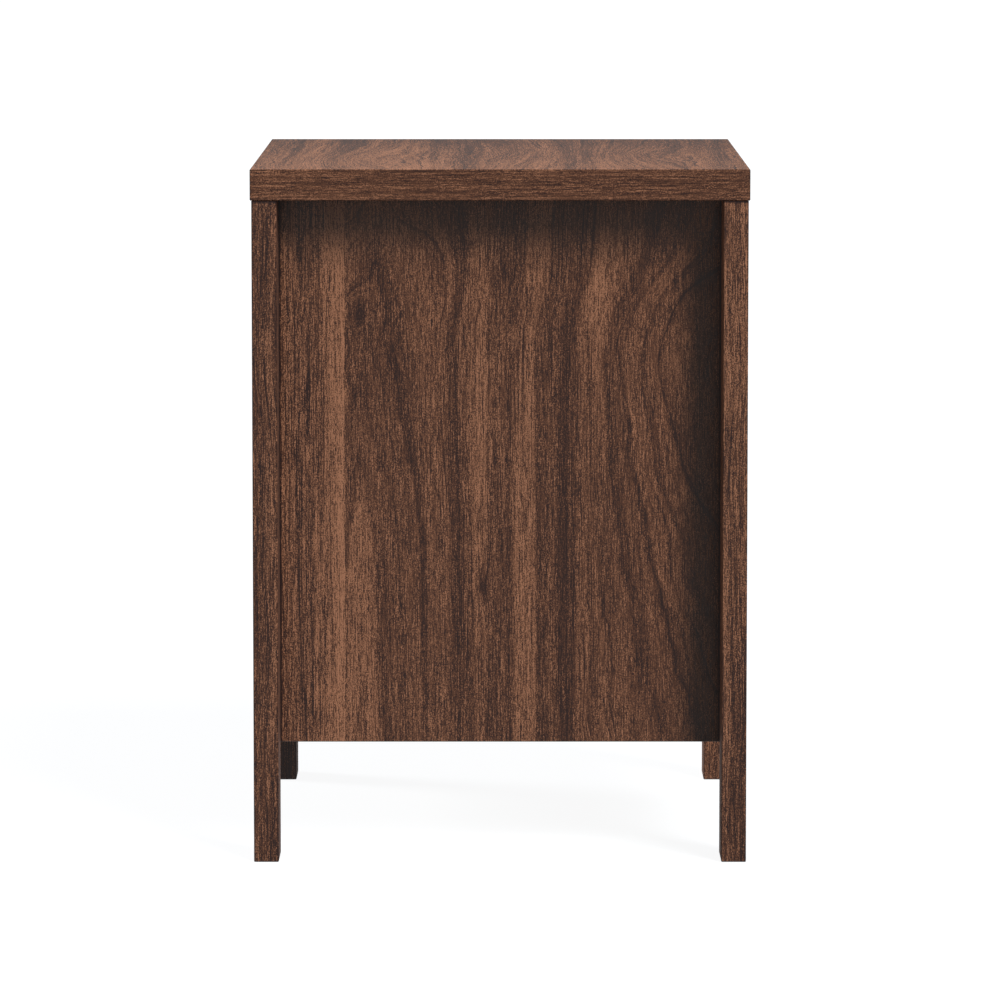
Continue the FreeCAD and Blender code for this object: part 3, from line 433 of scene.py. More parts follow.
# The next six lists run across the panel: place along Y, value.
ripple_sizes = [(-0.126, 0.006), (-0.060, 0.003), (0.060, 0.002), (0.100, 0.008), (0.179, 0.010)]
straight_tones = [(-0.176, 0.03), (-0.146, 0.04), (-0.1415, 0.25), (-0.126, 0.42)]
straight_line_strengths = [(-0.176, 0.72), (-0.1425, 0.68), (-0.1385, 0.35), (-0.126, 0.30)]
curved_line_strengths = [(-0.126, 0.54), (-0.060, 0.46), (0.060, 0.50), (0.110, 0.26), (0.179, 0.22)]
ring_strengths = [
    (-0.130, 0.20),
    (-0.110, 0.50),
    (-0.060, 0.32),
    (0.060, 0.30),
    (0.090, 0.60),
    (0.179, 0.65),
]
fibre_strengths = [(-0.130, 1.06), (-0.120, 0.94), (0.040, 0.94), (0.080, 0.84)]
pith_line_change = -0.30
quiet_bands = 0.45
leaf_contrast = 1.2
close_lines_start = 0.176
close_lines_rate = 0.5
straight_leaf_growth = 0.7
lipping_growth = 2.1
lipping_tone = -0.03
# Painted shade: a dark strip on the side panels beside the legs' inner faces and under the top, and along
# the tops of the legs under the top, where these corners fall in shade.
leg_corner_shade_band = (0.1768, 0.1782)
under_top_shade_band = (0.5325, 0.5340)
painted_corner_shade = -0.7
side_material, tree, shader = new_material("side_panel_walnut")
x, y, z = object_place(tree)
from_pith = maths(tree, "SUBTRACT", maths(tree, "SUBTRACT", y, pith_y), stepped(tree, z, pith_leans))
square = maths(tree, "MULTIPLY_ADD", from_pith, from_pith, pith_width**2)
fall = maths(tree, "EXPONENT", maths(tree, "MULTIPLY", square, -1 / crown_half_width**2))
crown = maths(tree, "MULTIPLY_ADD", stepped(tree, z, crown_lifts), fall, maths(tree, "SQRT", square))
past_fan = maths(tree, "MAXIMUM", maths(tree, "SUBTRACT", y, fan_y), 0.0)
closer = maths(tree, "SUBTRACT", stepped(tree, z, fan_spreads), 1.0)
crown = maths(tree, "MULTIPLY_ADD", past_fan, closer, crown)
crown = swell(tree, crown, z, y, panel_swellings)
ripple = grain_noise(tree, z, crown, along_pitch=0.040, pitch=0.016, seed=33.1, detail=2.0)
crown = maths(tree, "MULTIPLY_ADD", ripple, stepped(tree, y, ripple_sizes), crown)
crown_tone = maths(tree, "ADD", stepped(tree, crown, leaf_bands), stepped(tree, crown, fan_bands))
crown_tone = maths(tree, "MULTIPLY", crown_tone, leaf_contrast)
crown_tone = swell(tree, crown_tone, z, y, leaf_patches)
other_leaf = maths(tree, "LESS_THAN", y, leaf_joint_y)
past_start = maths(tree, "MAXIMUM", maths(tree, "SUBTRACT", crown, close_lines_start), 0.0)
crown_growth = maths(tree, "ADD", crown, maths(tree, "MULTIPLY", past_start, close_lines_rate))
growth = blend_values(tree, other_leaf, crown_growth, maths(tree, "ADD", y, straight_leaf_growth))
curved_lines = stepped(tree, y, curved_line_strengths)
curved_lines = maths(tree, "MULTIPLY_ADD", fall, pith_line_change, curved_lines)
straight_lines = stepped(tree, y, straight_line_strengths)
tone = blend_values(tree, other_leaf, crown_tone, stepped(tree, y, straight_tones))
# Painted shade in the corners beside the legs and under the top's overhang.
corner_shade_mask = between(tree, maths(tree, "ABSOLUTE", y), *leg_corner_shade_band)
corner_shade_mask = maths(tree, "MAXIMUM", corner_shade_mask, between(tree, z, *under_top_shade_band))
tone = maths(tree, "MULTIPLY_ADD", corner_shade_mask, painted_corner_shade, tone)
at_lipping = faces_along(tree, "Y")
sources = {
    "Along": z,
    "Across": blend_values(tree, at_lipping, y, x),
    "Growth": blend_values(tree, at_lipping, growth, maths(tree, "ADD", x, lipping_growth)),
    "Tone": blend_values(tree, at_lipping, tone, lipping_tone),
    "Band Strength": quiet_bands,
    "Line Strength": blend_values(tree, other_leaf, curved_lines, straight_lines),
    "Ring Strength": stepped(tree, y, ring_strengths),
    "Fibre Strength": stepped(tree, y, fibre_strengths),
}
finish_walnut(tree, shader, add_group(tree, walnut_figure, sources))
give(side_material, "left_side_panel", "right_side_panel")

# Legs: four straight posts of solid walnut, 48 by 20 mm, planed on four sides, with lightly broken edges.
# They are bolted to the outer faces of the side panels from inside the case.


def make_arris():
    """Where the stain lies thicker on a board's edges: 1 on an edge of the given box, 0 within it."""
    inputs = {
        "Place": ("Vector", None),
        "Low": ("Vector", None),
        "High": ("Vector", None),
        "Width": ("Float", 0.001),
    }
    tree, given, result = new_group("arris", inputs, {"Mask": "Float"})

    def place_maths(operation, first, second):
        """The result of one sum on two places."""
        return add_node(tree, "ShaderNodeVectorMath", {0: first, 1: second}, operation=operation).outputs[0]

    from_low = place_maths("SUBTRACT", given["Place"], given["Low"])
    to_high = place_maths("SUBTRACT", given["High"], given["Place"])
    nearest = place_maths("MINIMUM", from_low, to_high)
    a, b, c = add_node(tree, "ShaderNodeSeparateXYZ", {"Vector": nearest}).outputs
    larger = maths(tree, "MINIMUM", maths(tree, "MAXIMUM", a, b), c)
    from_edge = maths(tree, "MAXIMUM", maths(tree, "MINIMUM", a, b), larger)
    ragged = noise(tree, given["Place"], scale=220.0, detail=2.0)
    reach = maths(tree, "MULTIPLY", given["Width"], maths(tree, "ADD", ragged, 0.5))
    tree.links.new(maths(tree, "SUBTRACT", 1.0, between(tree, from_edge, 0.0, reach)), result["Mask"])
    return tree


arris = make_arris()


def edge_tone(tree, node, tone, edge):
    """The tone of a board, changed along the edges of its box."""
    low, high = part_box(node)
    mask = add_group(tree, arris, {"Place": whole_place(tree), "Low": low, "High": high}).outputs[0]
    return maths(tree, "MULTIPLY_ADD", mask, edge, tone)


def stray(tree, along, seed, scale):
    """How far straight grain strays from its line on its way along a board, from -0.5 to 0.5."""
    return maths(tree, "SUBTRACT", noise(tree, place_at(tree, along, seed, 0.0), scale, detail=1.0), 0.5)


leg_height = 0.535
leg_middle = 0.27
leg_edge_tone = -0.35
leg_ring_slope = 0.83
leg_sway = 0.02
broad_face_dulling = 0.5
leg_tones = {
    # leg: (seed, tone at the foot, half way up and at the top)
    # front_left_leg's darker foot tone is painted shade, for the shadow the case casts on that foot.
    "front_left_leg": (1.7, -0.20, 0.00, -0.10),
    "front_right_leg": (2.9, -0.13, 0.02, -0.18),
    "rear_left_leg": (3.6, -0.07, 0.02, -0.02),
    "rear_right_leg": (5.2, -0.12, 0.11, 0.18),
}
for leg, (seed, foot_tone, middle_tone, top_tone) in leg_tones.items():
    material, tree, shader = new_material(leg + "_walnut")
    x, y, z = object_place(tree)
    across = maths(tree, "MULTIPLY_ADD", x, leg_ring_slope, y)
    sway = stray(tree, z, seed, scale=7.0)
    growth = maths(tree, "MULTIPLY_ADD", sway, leg_sway, maths(tree, "ADD", across, seed))
    tone = stepped(tree, z, [(0.0, foot_tone), (leg_middle, middle_tone), (leg_height, top_tone)])
    tone = edge_tone(tree, leg, tone, leg_edge_tone)
    # Painted shade along the top of each leg, under the top's overhang.
    tone = maths(tree, "MULTIPLY_ADD", between(tree, z, *under_top_shade_band), painted_corner_shade, tone)
    sources = {"Along": z, "Across": across, "Growth": growth, "Tone": tone, "Band Strength": quiet_bands}
    figure = add_group(tree, walnut_figure, sources)
    finish_walnut(tree, shader, figure)
    duller = maths(tree, "MULTIPLY", faces_along(tree, "Y"), broad_face_dulling)
    feed(tree, shader, {"Roughness": maths(tree, "ADD", duller, figure.outputs["Roughness"])})
    give(material, leg)

# Bottom panel, divider rail, top rails and back panel: boards of the same walnut as the sides, with a
# plainer figure under the same lacquer. The boards are 15 mm and run from side to side between the panels,
# and the thin back slides into grooves.

board_ring_slope = 0.8
board_sway = 0.03
plain_boards = {
    # board: (way along the grain, way across it, seed, tone)
    "bottom_panel": ("X", "Y", 2.3, -0.02),
    "divider_rail": ("X", "Y", 5.9, 0.00),
    "top_front_rail": ("X", "Y", 8.4, 0.02),
    "top_rear_rail": ("X", "Y", 11.2, -0.03),
    "back_panel": ("Z", "X", 14.6, 0.03),
}
for board, (along, across, seed, tone) in plain_boards.items():
    material, tree, shader = new_material(board + "_walnut")
    place = object_place(tree)
    through = "Z" if across == "Y" else "Y"
    across = maths(tree, "MULTIPLY_ADD", place[through], board_ring_slope, place[across])
    sway = stray(tree, place[along], seed, scale=6.0)
    growth = maths(tree, "MULTIPLY_ADD", sway, board_sway, maths(tree, "ADD", across, seed))
    sources = {"Along": place[along], "Across": across, "Growth": growth, "Tone": tone}
    finish_walnut(tree, shader, add_group(tree, walnut_figure, sources))
    give(material, board)

# Fastenings of the case: fluted beech dowels and steel cam bolts that join the boards to the sides, cam
# locks of cast zinc pressed into the undersides of the boards, brass inserts in the legs, and the steel
# bolts with hexagon sockets that hold the legs.


def metal_finish(name, colour, darker, scale, roughness):
    """Cloudy plated or cast metal, with fine marks in its polish."""
    material, tree, shader = new_material(name)
    place = whole_place(tree)
    clouds = noise(tree, place, scale, detail=3.0)
    marks = noise(tree, place, scale * 9, detail=2.0)
    base = shade_by(tree, clouds, 0.35, 0.65, darker, colour)
    rough = maths(tree, "MULTIPLY_ADD", clouds, 0.25, roughness - 0.1)
    feed(tree, shader, {"Base Color": base, "Roughness": rough, "Metallic": 1.0})
    add_relief(tree, shader, marks, strength=0.5, depth=0.00003)
    return material


# Each metal: its name, colour, darker colour, scale of its clouds, roughness.
plated_steel = metal_finish("plated_steel", (0.62, 0.63, 0.64, 1), (0.42, 0.43, 0.46, 1), 260.0, 0.34)
cast_zinc = metal_finish("cast_zinc", (0.46, 0.46, 0.47, 1), (0.33, 0.33, 0.34, 1), 180.0, 0.5)
turned_brass = metal_finish("turned_brass", (0.74, 0.55, 0.26, 1), (0.52, 0.36, 0.15, 1), 300.0, 0.32)
give(plated_steel, "cam_bolts")
give(cast_zinc, "cam_locks")
give(turned_brass, "leg_inserts")


def stretched_noise(tree, place, scales, detail, scale=1.0):
    """Cloudy noise from 0 to 1 with a scale of its own for each coordinate."""
    scaled = [maths(tree, "MULTIPLY", part, own_scale) for part, own_scale in zip(place, scales)]
    return noise(tree, place_at(tree, *scaled), scale, detail)


pale_beech = (0.62, 0.43, 0.27, 1)
dark_beech = (0.44, 0.28, 0.16, 1)
beech, tree, shader = new_material("beech")
x, y, z = object_place(tree)
fibres = stretched_noise(tree, (x, y, z), scales=(60, 900, 1), detail=2.0)
flutes = stretched_noise(tree, (x, y, z), scales=(1, 1400, 1400), detail=0.0)
base = shade_by(tree, fibres, 0.3, 0.7, dark_beech, pale_beech)
feed(tree, shader, {"Base Color": base, "Roughness": 0.7})
add_relief(tree, shader, flutes, strength=0.6, depth=0.0002)
give(beech, "wood_dowels")


def socket_outline(kind, size):
    """The corners of the socket that a driver fits, as points on a flat head."""
    if kind == "hexagon":
        turns = [math.radians(60 * number) for number in range(6)]
        return [Vector((size * math.cos(turn), size * math.sin(turn), 0)) for turn in turns]
    half_arm = size * 0.24
    corner = [(size, -half_arm), (size, half_arm), (half_arm, half_arm)]
    quarter_turns = [(1, 0, 0, 1), (0, -1, 1, 0), (-1, 0, 0, -1), (0, 1, -1, 0)]
    return [Vector((x * a + y * b, x * c + y * d, 0)) for a, b, c, d in quarter_turns for x, y in corner]


def make_fastener(name, kind, head_radius, head_height, shank_radius, length, socket, socket_depth):
    """A screw or bolt that stands on its head's face at the origin and points up, with a driver's socket."""
    shape = bmesh.new()
    rim = head_radius * 0.62
    lip = head_height * 0.35
    side = [
        (rim, 0.0),
        (head_radius - lip, 0.0),
        (head_radius, lip),
        (head_radius, head_height),
        (shank_radius, head_height),
        (shank_radius, head_height + length - shank_radius * 2),
        (0.0, head_height + length),
    ]
    points = [shape.verts.new((radius, 0, height)) for radius, height in side]
    edges = [shape.edges.new(pair) for pair in zip(points, points[1:])]
    axis = {"cent": (0, 0, 0), "axis": (0, 0, 1), "angle": 2 * math.pi}
    bmesh.ops.spin(shape, geom=points + edges, steps=24, use_merge=True, use_duplicate=False, **axis)
    bmesh.ops.remove_doubles(shape, verts=shape.verts, dist=1e-6)
    open_edges = [edge for edge in shape.edges if edge.is_boundary]
    corners = [shape.verts.new(corner) for corner in socket_outline(kind, socket)]
    ring = [shape.edges.new(pair) for pair in zip(corners, corners[1:] + corners[:1])]
    bmesh.ops.triangle_fill(shape, use_beauty=True, use_dissolve=False, edges=open_edges + ring)
    walls = bmesh.ops.extrude_edge_only(shape, edges=ring)["geom"]
    deep = [part for part in walls if isinstance(part, bmesh.types.BMVert)]
    bmesh.ops.translate(shape, vec=(0, 0, socket_depth), verts=deep)
    bmesh.ops.scale(shape, vec=(0.8, 0.8, 1), verts=deep)
    bmesh.ops.contextual_create(shape, geom=[edge for edge in shape.edges if edge.is_boundary])
    bmesh.ops.recalc_face_normals(shape, faces=shape.faces)
    # The fill leaves its faces in another order each run, so they are put in the order of their corners.
    shape.verts.index_update()
    in_turn = sorted(shape.faces, key=lambda face: sorted(corner.index for corner in face.verts))
    ranks = {face: rank for rank, face in enumerate(in_turn)}
    shape.faces.sort(key=ranks.get)
    mesh = bpy.data.meshes.new(name)
    shape.to_mesh(mesh)
    shape.free()
    return mesh


def set_in_place(name, fastener, places, finish, body, node):
    """One piece of several fasteners, each at a place and pointing a way, that stands for a CAD node."""
    shape = bmesh.new()
    for place, pointing in places:
        known = set(shape.verts)
        shape.from_mesh(fastener)
        turn = Vector(pointing).to_track_quat("Z", "Y").to_matrix().to_4x4()
        fresh = [point for point in shape.verts if point not in known]
        bmesh.ops.transform(shape, matrix=Matrix.Translation(Vector(place)) @ turn, verts=fresh)
    mesh = bpy.data.meshes.new(name)
    shape.to_mesh(mesh)
    shape.free()
    mesh.materials.append(finish)
    piece = bpy.data.objects.new(name, mesh)
    bpy.context.scene.collection.objects.link(piece)
    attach(piece, body)
    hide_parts(node)


bolt_head_radius = 0.0075
bolt_head_height = 0.0025
bolt_length = 0.022
leg_bolt = make_fastener(
    "leg_bolt",
    "hexagon",
    head_radius=bolt_head_radius,
    head_height=bolt_head_height,
    shank_radius=0.003,
    length=bolt_length,
    socket=0.0029,
    socket_depth=0.0017,
)
low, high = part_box("leg_bolts")
bolt_x = high.x - bolt_head_height - bolt_length
bolt_places = []
for side in (-1, 1):
    for bolt_y in (low.y + bolt_head_radius, high.y - bolt_head_radius):
        for bolt_z in (low.z + bolt_head_radius, high.z - bolt_head_radius):
            bolt_places.append(((side * bolt_x, bolt_y, bolt_z), (side, 0, 0)))
set_in_place("leg_bolt_set", leg_bolt, bolt_places, plated_steel, "case", "leg_bolts")

# Top: a 25 mm slab veneered on both faces with the grain running from side to side, its four edges banded
# with strips whose grain follows the edge. It overhangs the legs by about 1 mm, and screws through the rails
# hold it down.

top_swellings = [
    # centre along, centre across, half length, half width, shift of the growth lines
    (0.10, -0.115, 0.14, 0.035, 0.030),
    (-0.05, 0.020, 0.20, 0.040, -0.020),
    (0.05, 0.115, 0.16, 0.035, 0.030),
]
top_bands = [
    # place along Y, tone
    (-0.200, -0.05),
    (-0.176, -0.08),
    (-0.168, 0.14),
    (-0.142, 0.16),
    (-0.135, -0.12),
    (-0.114, -0.10),
    (-0.108, 0.14),
    (-0.062, 0.12),
    (-0.056, -0.10),
    (-0.034, -0.08),
    (-0.030, -0.26),
    (-0.020, -0.24),
    (-0.015, -0.02),
    (0.024, -0.02),
    (0.028, 0.16),
    (0.038, 0.14),
    (0.044, -0.08),
    (0.100, -0.02),
    (0.140, -0.10),
    (0.150, -0.22),
    (0.162, 0.04),
    (0.175, -0.22),
    (0.190, -0.04),
    (0.200, -0.04),
]
top_band_wander = 0.3
top_contrast = 0.62
top_ripple_size = 0.010
top_line_density = 1.5
# Painted sheen: the tone of the top's face runs from darker at -X to lighter at +X, as a sheen that
# brightens it towards the camera side.
top_sheen_tones = [(-0.240, -0.12), (-0.020, 0.09), (0.240, 0.25)]
banding_growth = 6.6
banding_tones = [(-0.200, 0.09), (-0.060, 0.07), (0.200, 0.035)]
banding_arris_tone = -0.25
top_strengths = {
    # part of the figure: (strength on the face, strength on the banding)
    "Band": (0.45, 0.4),
    "Line": (0.75, 0.50),
    "Ring": (1.0, 0.6),
    "Fibre": (1.0, 0.70),
}
top_dulling = 0.45
top_gloss = 0.20
top_material, tree, shader = new_material("top_walnut")
x, y, z = object_place(tree)
growth = swell(tree, y, x, y, top_swellings)
wander = maths(tree, "MULTIPLY_ADD", maths(tree, "SUBTRACT", growth, y), top_band_wander, y)
tone = maths(tree, "MULTIPLY", stepped(tree, wander, top_bands), top_contrast)
# Painted sheen: darker towards -X, lighter towards +X.
tone = maths(tree, "ADD", tone, stepped(tree, x, top_sheen_tones))
ripple = grain_noise(tree, x, growth, along_pitch=0.045, pitch=0.020, seed=51.7, detail=2.0)
growth = maths(tree, "MULTIPLY_ADD", ripple, top_ripple_size, growth)
at_edge = maths(tree, "SUBTRACT", 1.0, faces_along(tree, "Z"))
along = blend_values(tree, faces_along(tree, "X"), x, y)
across = blend_values(tree, at_edge, y, z)
growth = blend_values(tree, at_edge, growth, maths(tree, "ADD", z, banding_growth))
growth = maths(tree, "MULTIPLY", growth, top_line_density)
tone = blend_values(tree, at_edge, tone, stepped(tree, y, banding_tones))
tone = edge_tone(tree, "top_slab", tone, banding_arris_tone)
sources = {"Along": along, "Across": across, "Growth": growth, "Tone": tone}
for part, (on_face, on_banding) in top_strengths.items():
    sources[part + " Strength"] = blend_values(tree, at_edge, on_face, on_banding)
figure = add_group(tree, walnut_figure, sources)
finish_walnut(tree, shader, figure)
duller = maths(tree, "ADD", figure.outputs["Roughness"], top_dulling)
duller = blend_values(tree, at_edge, duller, figure.outputs["Roughness"])
feed(tree, shader, {"Roughness": duller, "Specular IOR Level": top_gloss})
give(top_material, "top_slab")

screw_head_radius = 0.00425
top_screw = make_fastener(
    "top_screw",
    "cross",
    head_radius=screw_head_radius,
    head_height=0.0024,
    shank_radius=0.002,
    length=0.028,
    socket=0.0021,
    socket_depth=0.0012,
)
low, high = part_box("top_screws")
screw_places = []
for screw_x in (low.x + screw_head_radius, high.x - screw_head_radius):
    for screw_y in (low.y + screw_head_radius, high.y - screw_head_radius):
        screw_places.append(((screw_x, screw_y, low.z), (0, 0, 1)))
set_in_place("top_screw_set", top_screw, screw_places, plated_steel, "case", "top_screws")

# Cabinet halves of the drawer runners: channels folded from 1.2 mm steel and coated dark, each screwed to
# a side panel through two slots. A nylon roller turns on a riveted pin at the front end of each.

dark_coating = (0.018, 0.017, 0.016, 1)
speckled_coating = (0.036, 0.033, 0.030, 1)
rubbed_coating = (0.085, 0.08, 0.076, 1)
coating, tree, shader = new_material("runner_coating")
place = whole_place(tree)
x, y, z = object_place(tree)
peel = noise(tree, place, scale=1400.0, detail=2.0)
specks = noise(tree, place, scale=420.0, detail=2.0)
rubbed = stretched_noise(tree, (y, x, z), scales=(22, 900, 1), detail=2.0)
base = shade_by(tree, specks, 0.3, 0.7, dark_coating, speckled_coating)
base = shade_by(tree, rubbed, 0.60, 0.74, base, rubbed_coating)
feed(tree, shader, {"Base Color": base, "Roughness": maths(tree, "MULTIPLY_ADD", rubbed, -0.25, 0.62)})
add_relief(tree, shader, peel, strength=0.35, depth=0.00005)

grey_nylon = (0.66, 0.65, 0.60, 1)
white_nylon = (0.76, 0.75, 0.71, 1)
scuffed_nylon = (0.38, 0.37, 0.35, 1)
nylon, tree, shader = new_material("roller_nylon")
place = whole_place(tree)
x, y, z = object_place(tree)
scuffs = stretched_noise(tree, (x, y, z), scales=(1500, 1, 1), detail=3.0, scale=60.0)
clouds = noise(tree, place, scale=120.0, detail=2.0)
base = shade_by(tree, clouds, 0.3, 0.7, grey_nylon, white_nylon)
base = shade_by(tree, scuffs, 0.58, 0.72, base, scuffed_nylon)
feed(tree, shader, {"Base Color": base, "Roughness": maths(tree, "MULTIPLY_ADD", scuffs, 0.3, 0.28)})
feed(tree, shader, {"Subsurface Weight": 0.08, "Subsurface Radius": (0.002, 0.002, 0.0015)})
add_relief(tree, shader, scuffs, strength=0.3, depth=0.00005)

for level in ("lower", "upper"):
    for side in ("left", "right"):
        give(coating, f"{level}_{side}_channel")
        give(nylon, f"{level}_{side}_front_roller")
give(plated_steel, "channel_pins", "channel_screws")

# Drawer boxes: four sides of 12 mm birch plywood with clear lacquer, rebated and glued at the corners,
# and a 3 mm bottom of the same birch held in grooves. The plies show along every edge.

birch_colours = {
    "dark face": (0.52, 0.355, 0.205, 1),
    "pale face": (0.66, 0.485, 0.30, 1),
    "grain": (0.40, 0.25, 0.13, 1),
    "ticks": (0.26, 0.15, 0.075, 1),
    "long ply": (0.60, 0.42, 0.25, 1),
    "cross ply": (0.40, 0.25, 0.135, 1),
    "end grain": (0.28, 0.165, 0.085, 1),
    "glue": (0.16, 0.085, 0.045, 1),
}


def make_birch_ply():
    """Lacquered birch plywood: a pale flamed face, and plies with their glue lines along the edges."""
    inputs = {
        "Along": ("Float", 0.0),
        "Across": ("Float", 0.0),
        "Through": ("Float", 0.0),
        "At Face": ("Float", 1.0),
        "Plies": ("Float", 9.0),
    }
    outputs = {"Color": "Color", "Roughness": "Float", "Height": "Float"}
    tree, given, result = new_group("birch_ply", inputs, outputs)
    across = given["Across"]
    along = maths(tree, "MULTIPLY", given["Along"], 4.0)
    sway = noise(tree, place_at(tree, along, across, 3.0), scale=1.5, detail=1.0)
    sway = maths(tree, "MULTIPLY_ADD", sway, 0.05, across)
    flame = stretched_noise(tree, (along, sway, 0.0), scales=(1, 55, 1), detail=2.0)
    grain = stretched_noise(tree, (along, across, 7.0), scales=(5, 620, 1), detail=2.0)
    ticks = stretched_noise(tree, (along, across, 9.0), scales=(28, 900, 1), detail=0.0)
    face = shade_by(tree, flame, 0.3, 0.7, birch_colours["dark face"], birch_colours["pale face"])
    face = shade_by(tree, grain, 0.45, 0.85, face, birch_colours["grain"])
    face = shade_by(tree, ticks, 0.70, 0.80, face, birch_colours["ticks"])
    layers = maths(tree, "MULTIPLY", given["Through"], given["Plies"])
    crossed = maths(tree, "GREATER_THAN", maths(tree, "MODULO", layers, 2.0), 1.0)
    from_glue = maths(tree, "PINGPONG", layers, 0.5)
    glue = maths(tree, "SUBTRACT", 1.0, between(tree, from_glue, 0.03, 0.09))
    end_grain = stretched_noise(tree, (given["Along"], layers, 1.0), scales=(900, 1, 1), detail=2.0)
    edge = blend_colours(tree, crossed, birch_colours["long ply"], birch_colours["cross ply"])
    edge = shade_by(tree, end_grain, 0.45, 0.8, edge, birch_colours["end grain"])
    edge = blend_colours(tree, glue, edge, birch_colours["glue"])
    edge_relief = maths(tree, "SUBTRACT", end_grain, glue)
    tree.links.new(blend_colours(tree, given["At Face"], edge, face), result["Color"])
    tree.links.new(maths(tree, "MULTIPLY_ADD", grain, 0.2, 0.38), result["Roughness"])
    tree.links.new(blend_values(tree, given["At Face"], edge_relief, grain), result["Height"])
    return tree


birch_ply = make_birch_ply()


def give_birch(node, along, across, through, plies):
    """Lays plywood on a board, its face grain along one axis and its plies through another."""
    low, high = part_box(node)
    axis = "XYZ".index(through)
    material, tree, shader = new_material(node + "_birch")
    place = object_place(tree)
    sources = {
        "Along": maths(tree, "ADD", place[along], 3.0 * low.z + low.x),
        "Across": place[across],
        "Through": between(tree, place[through], low[axis], high[axis]),
        "At Face": faces_along(tree, through),
        "Plies": float(plies),
    }
    lay_figure(tree, shader, add_group(tree, birch_ply, sources), strength=0.4, depth=0.00008)
    give(material, node)


for level in ("lower", "upper"):
    for side in ("left", "right"):
        give_birch(f"{level}_drawer_{side}_side", "Y", "Z", "X", plies=9)
    for end in ("inner_front", "back"):
        give_birch(f"{level}_drawer_{end}", "X", "Z", "Y", plies=9)
    give_birch(f"{level}_drawer_bottom", "X", "Y", "Z", plies=3)

# Drawer fronts: 18 mm boards faced with crown-cut walnut, the grain running across both fronts as it was
# cut from one leaf. A scoop milled in the top edge takes the fingers. Four screws hold each to its box.

front_swellings = [
    # centre along, centre across, half length, half width, shift of the growth lines
    (-0.060, 0.215, 0.110, 0.030, 0.026),
    (0.085, 0.150, 0.080, 0.024, 0.022),
    (0.050, 0.400, 0.140, 0.034, 0.030),
    (-0.110, 0.450, 0.080, 0.020, -0.016),
]
front_growth = 9.3
front_sway = 0.02
front_tone = 0.03
front_material, tree, shader = new_material("drawer_front_walnut")
x, y, z = object_place(tree)
across = maths(tree, "MULTIPLY_ADD", y, board_ring_slope, z)
sway = stray(tree, x, seed=3.7, scale=5.0)
growth = maths(tree, "MULTIPLY_ADD", sway, front_sway, swell(tree, across, x, z, front_swellings))
growth = maths(tree, "ADD", growth, front_growth)
sources = {"Along": x, "Across": across, "Growth": growth, "Tone": front_tone}
finish_walnut(tree, shader, add_group(tree, walnut_figure, sources))
give(front_material, "lower_drawer_front", "upper_drawer_front")

front_screw_radius = 0.004
front_screw = make_fastener(
    "front_screw",
    "cross",
    head_radius=front_screw_radius,
    head_height=0.002,
    shank_radius=0.002,
    length=0.024,
    socket=0.002,
    socket_depth=0.0011,
)
for level in ("lower", "upper"):
    node = level + "_drawer_front_screws"
    low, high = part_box(node)
    screw_places = []
    for screw_x in (low.x + front_screw_radius, high.x - front_screw_radius):
        for screw_z in (low.z + front_screw_radius, high.z - front_screw_radius):
            screw_places.append(((screw_x, high.y, screw_z), (0, -1, 0)))
    name = level + "_front_screw_set"
    set_in_place(name, front_screw, screw_places, plated_steel, level + "_drawer", node)

# Drawer halves of the runners: coated steel angles screwed under the sides of the box. The roller at the
# rear end of each runs inside the channel, and a riveted pin carries it.

for level in ("lower", "upper"):
    for side in ("left", "right"):
        give(coating, f"{level}_{side}_rail")
        give(nylon, f"{level}_{side}_rear_roller")
    give(plated_steel, f"{level}_rail_pins", f"{level}_rail_screws")

# Studio: a camera a little above the top on the plain side, two soft lamps one over the other to its right
# with a weak cool one low beside them, one more on the drawers' side, and a pale floor that runs out of
# sight, which the camera sees through from below.

bpy.context.scene.view_settings.view_transform = "Standard"
camera_distance = 5.0967
camera_height = 0.8294
camera_pitch = math.radians(6.2847)
camera_lens = 219.07
camera_data = bpy.data.cameras.new("camera")
camera_data.lens = camera_lens
camera_data.clip_end = 200.0
camera = bpy.data.objects.new("camera", camera_data)
camera.location = (camera_distance, 0.0, camera_height)
view_direction = Vector((-math.cos(camera_pitch), 0.0, -math.sin(camera_pitch)))
camera.rotation_euler = view_direction.to_track_quat("-Z", "Y").to_euler()
bpy.context.scene.collection.objects.link(camera)
bpy.context.scene.camera = camera

lamps = [
    # lamp, where it is seen from the object, strength, spread in degrees, colour
    ("key_low", (1.0, 0.66, 0.73), 2.02, 20, (1.0, 1.0, 1.0)),
    ("key_high", (1.0, 0.66, 1.10), 2.02, 20, (1.0, 1.0, 1.0)),
    ("low_side", (1.0, 0.90, 0.10), 0.55, 30, (0.45, 0.70, 1.0)),
    ("drawer_side", (-0.35, -0.85, 0.40), 3.0, 20, (1.0, 1.0, 1.0)),
]
for name, towards, strength, spread, colour in lamps:
    lamp_data = bpy.data.lights.new(name, "SUN")
    lamp_data.energy = strength
    lamp_data.color = colour
    lamp_data.angle = math.radians(spread)
    lamp = bpy.data.objects.new(name, lamp_data)
    lamp.rotation_euler = Vector(towards).to_track_quat("Z", "Y").to_euler()
    bpy.context.scene.collection.objects.link(lamp)


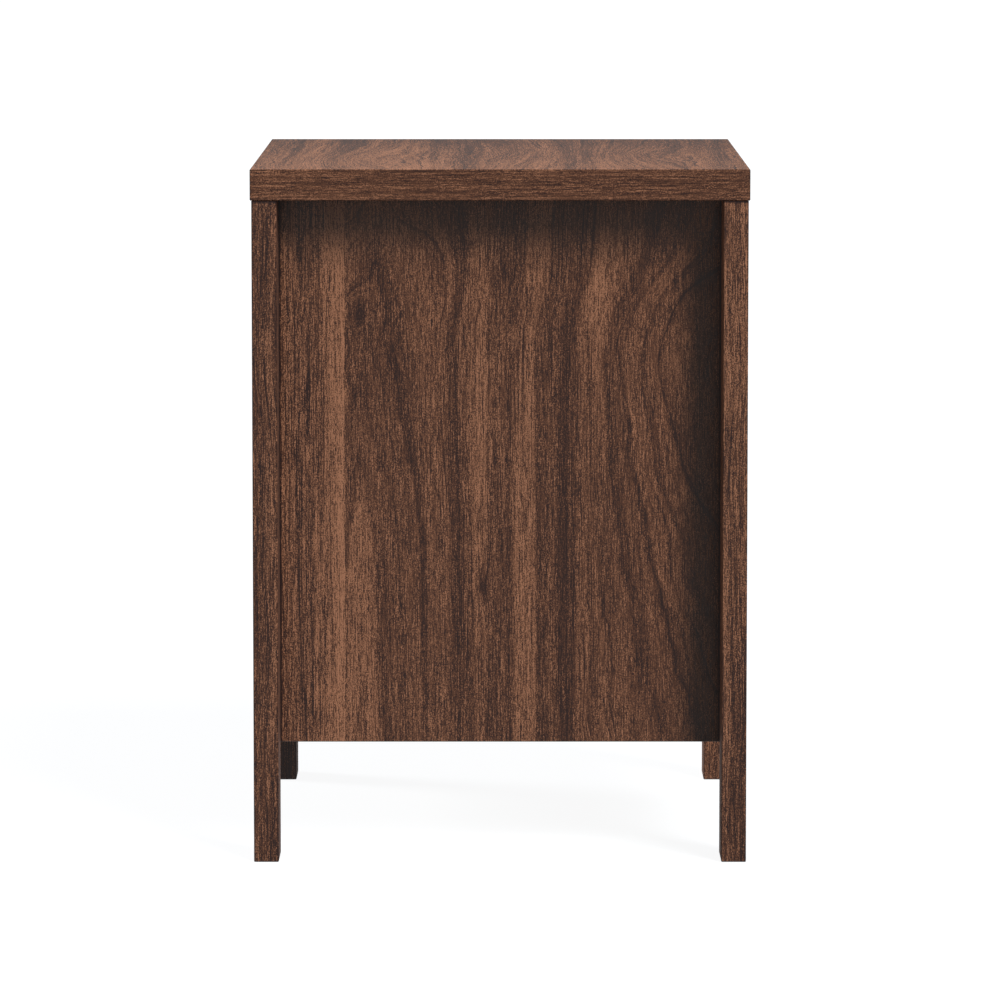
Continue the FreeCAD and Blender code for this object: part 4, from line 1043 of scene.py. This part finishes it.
def seen_directly(tree):
    """1 for the camera, mirrors and glass, and 0 for the light that falls on the object."""
    path = tree.nodes.new("ShaderNodeLightPath").outputs
    direct = maths(tree, "MAXIMUM", path["Is Camera Ray"], path["Is Transmission Ray"])
    return maths(tree, "MAXIMUM", direct, path["Is Glossy Ray"])


fill_colour = (0.42, 0.70, 1.0, 1)
fill_strength = 0.20
world = bpy.data.worlds.new("studio")
bpy.context.scene.world = world
world.use_nodes = True
world.cycles.sampling_method = "NONE"
tree = world.node_tree
tree.nodes.clear()
fill = add_node(tree, "ShaderNodeBackground", {"Color": fill_colour, "Strength": fill_strength})
backdrop = add_node(tree, "ShaderNodeBackground", {"Color": (1, 1, 1, 1), "Strength": 1.0})
sources = {0: seen_directly(tree), 1: fill.outputs[0], 2: backdrop.outputs[0]}
mixed = add_node(tree, "ShaderNodeMixShader", sources)
add_node(tree, "ShaderNodeOutputWorld", {"Surface": mixed.outputs[0]})

floor_half = 60.0
floor_gap = 0.0002
floor_colour = (0.11, 0.115, 0.12, 1)
floor_glow = 0.93
shape = bmesh.new()
bmesh.ops.create_grid(shape, x_segments=1, y_segments=1, size=floor_half)
floor_mesh = bpy.data.meshes.new("floor")
shape.to_mesh(floor_mesh)
shape.free()
floor = bpy.data.objects.new("floor", floor_mesh)
floor.location.z = -floor_gap
bpy.context.scene.collection.objects.link(floor)
floor_material, tree, shader = new_material("floor_paper")
feed(tree, shader, {"Base Color": floor_colour, "Roughness": 0.9, "Specular IOR Level": 0.0})
glow = maths(tree, "MULTIPLY", seen_directly(tree), floor_glow)
feed(tree, shader, {"Emission Color": (1, 1, 1, 1), "Emission Strength": glow})
by_camera = tree.nodes.new("ShaderNodeLightPath").outputs["Is Camera Ray"]
underneath = tree.nodes.new("ShaderNodeNewGeometry").outputs["Backfacing"]
seen_through = maths(tree, "MULTIPLY", underneath, by_camera)
clear = tree.nodes.new("ShaderNodeBsdfTransparent")
mixed = add_node(tree, "ShaderNodeMixShader", {0: seen_through, 1: shader.outputs[0], 2: clear.outputs[0]})
feed(tree, tree.nodes["Material Output"], {"Surface": mixed.outputs[0]})
floor_material.cycles.emission_sampling = "NONE"
floor_mesh.materials.append(floor_material)
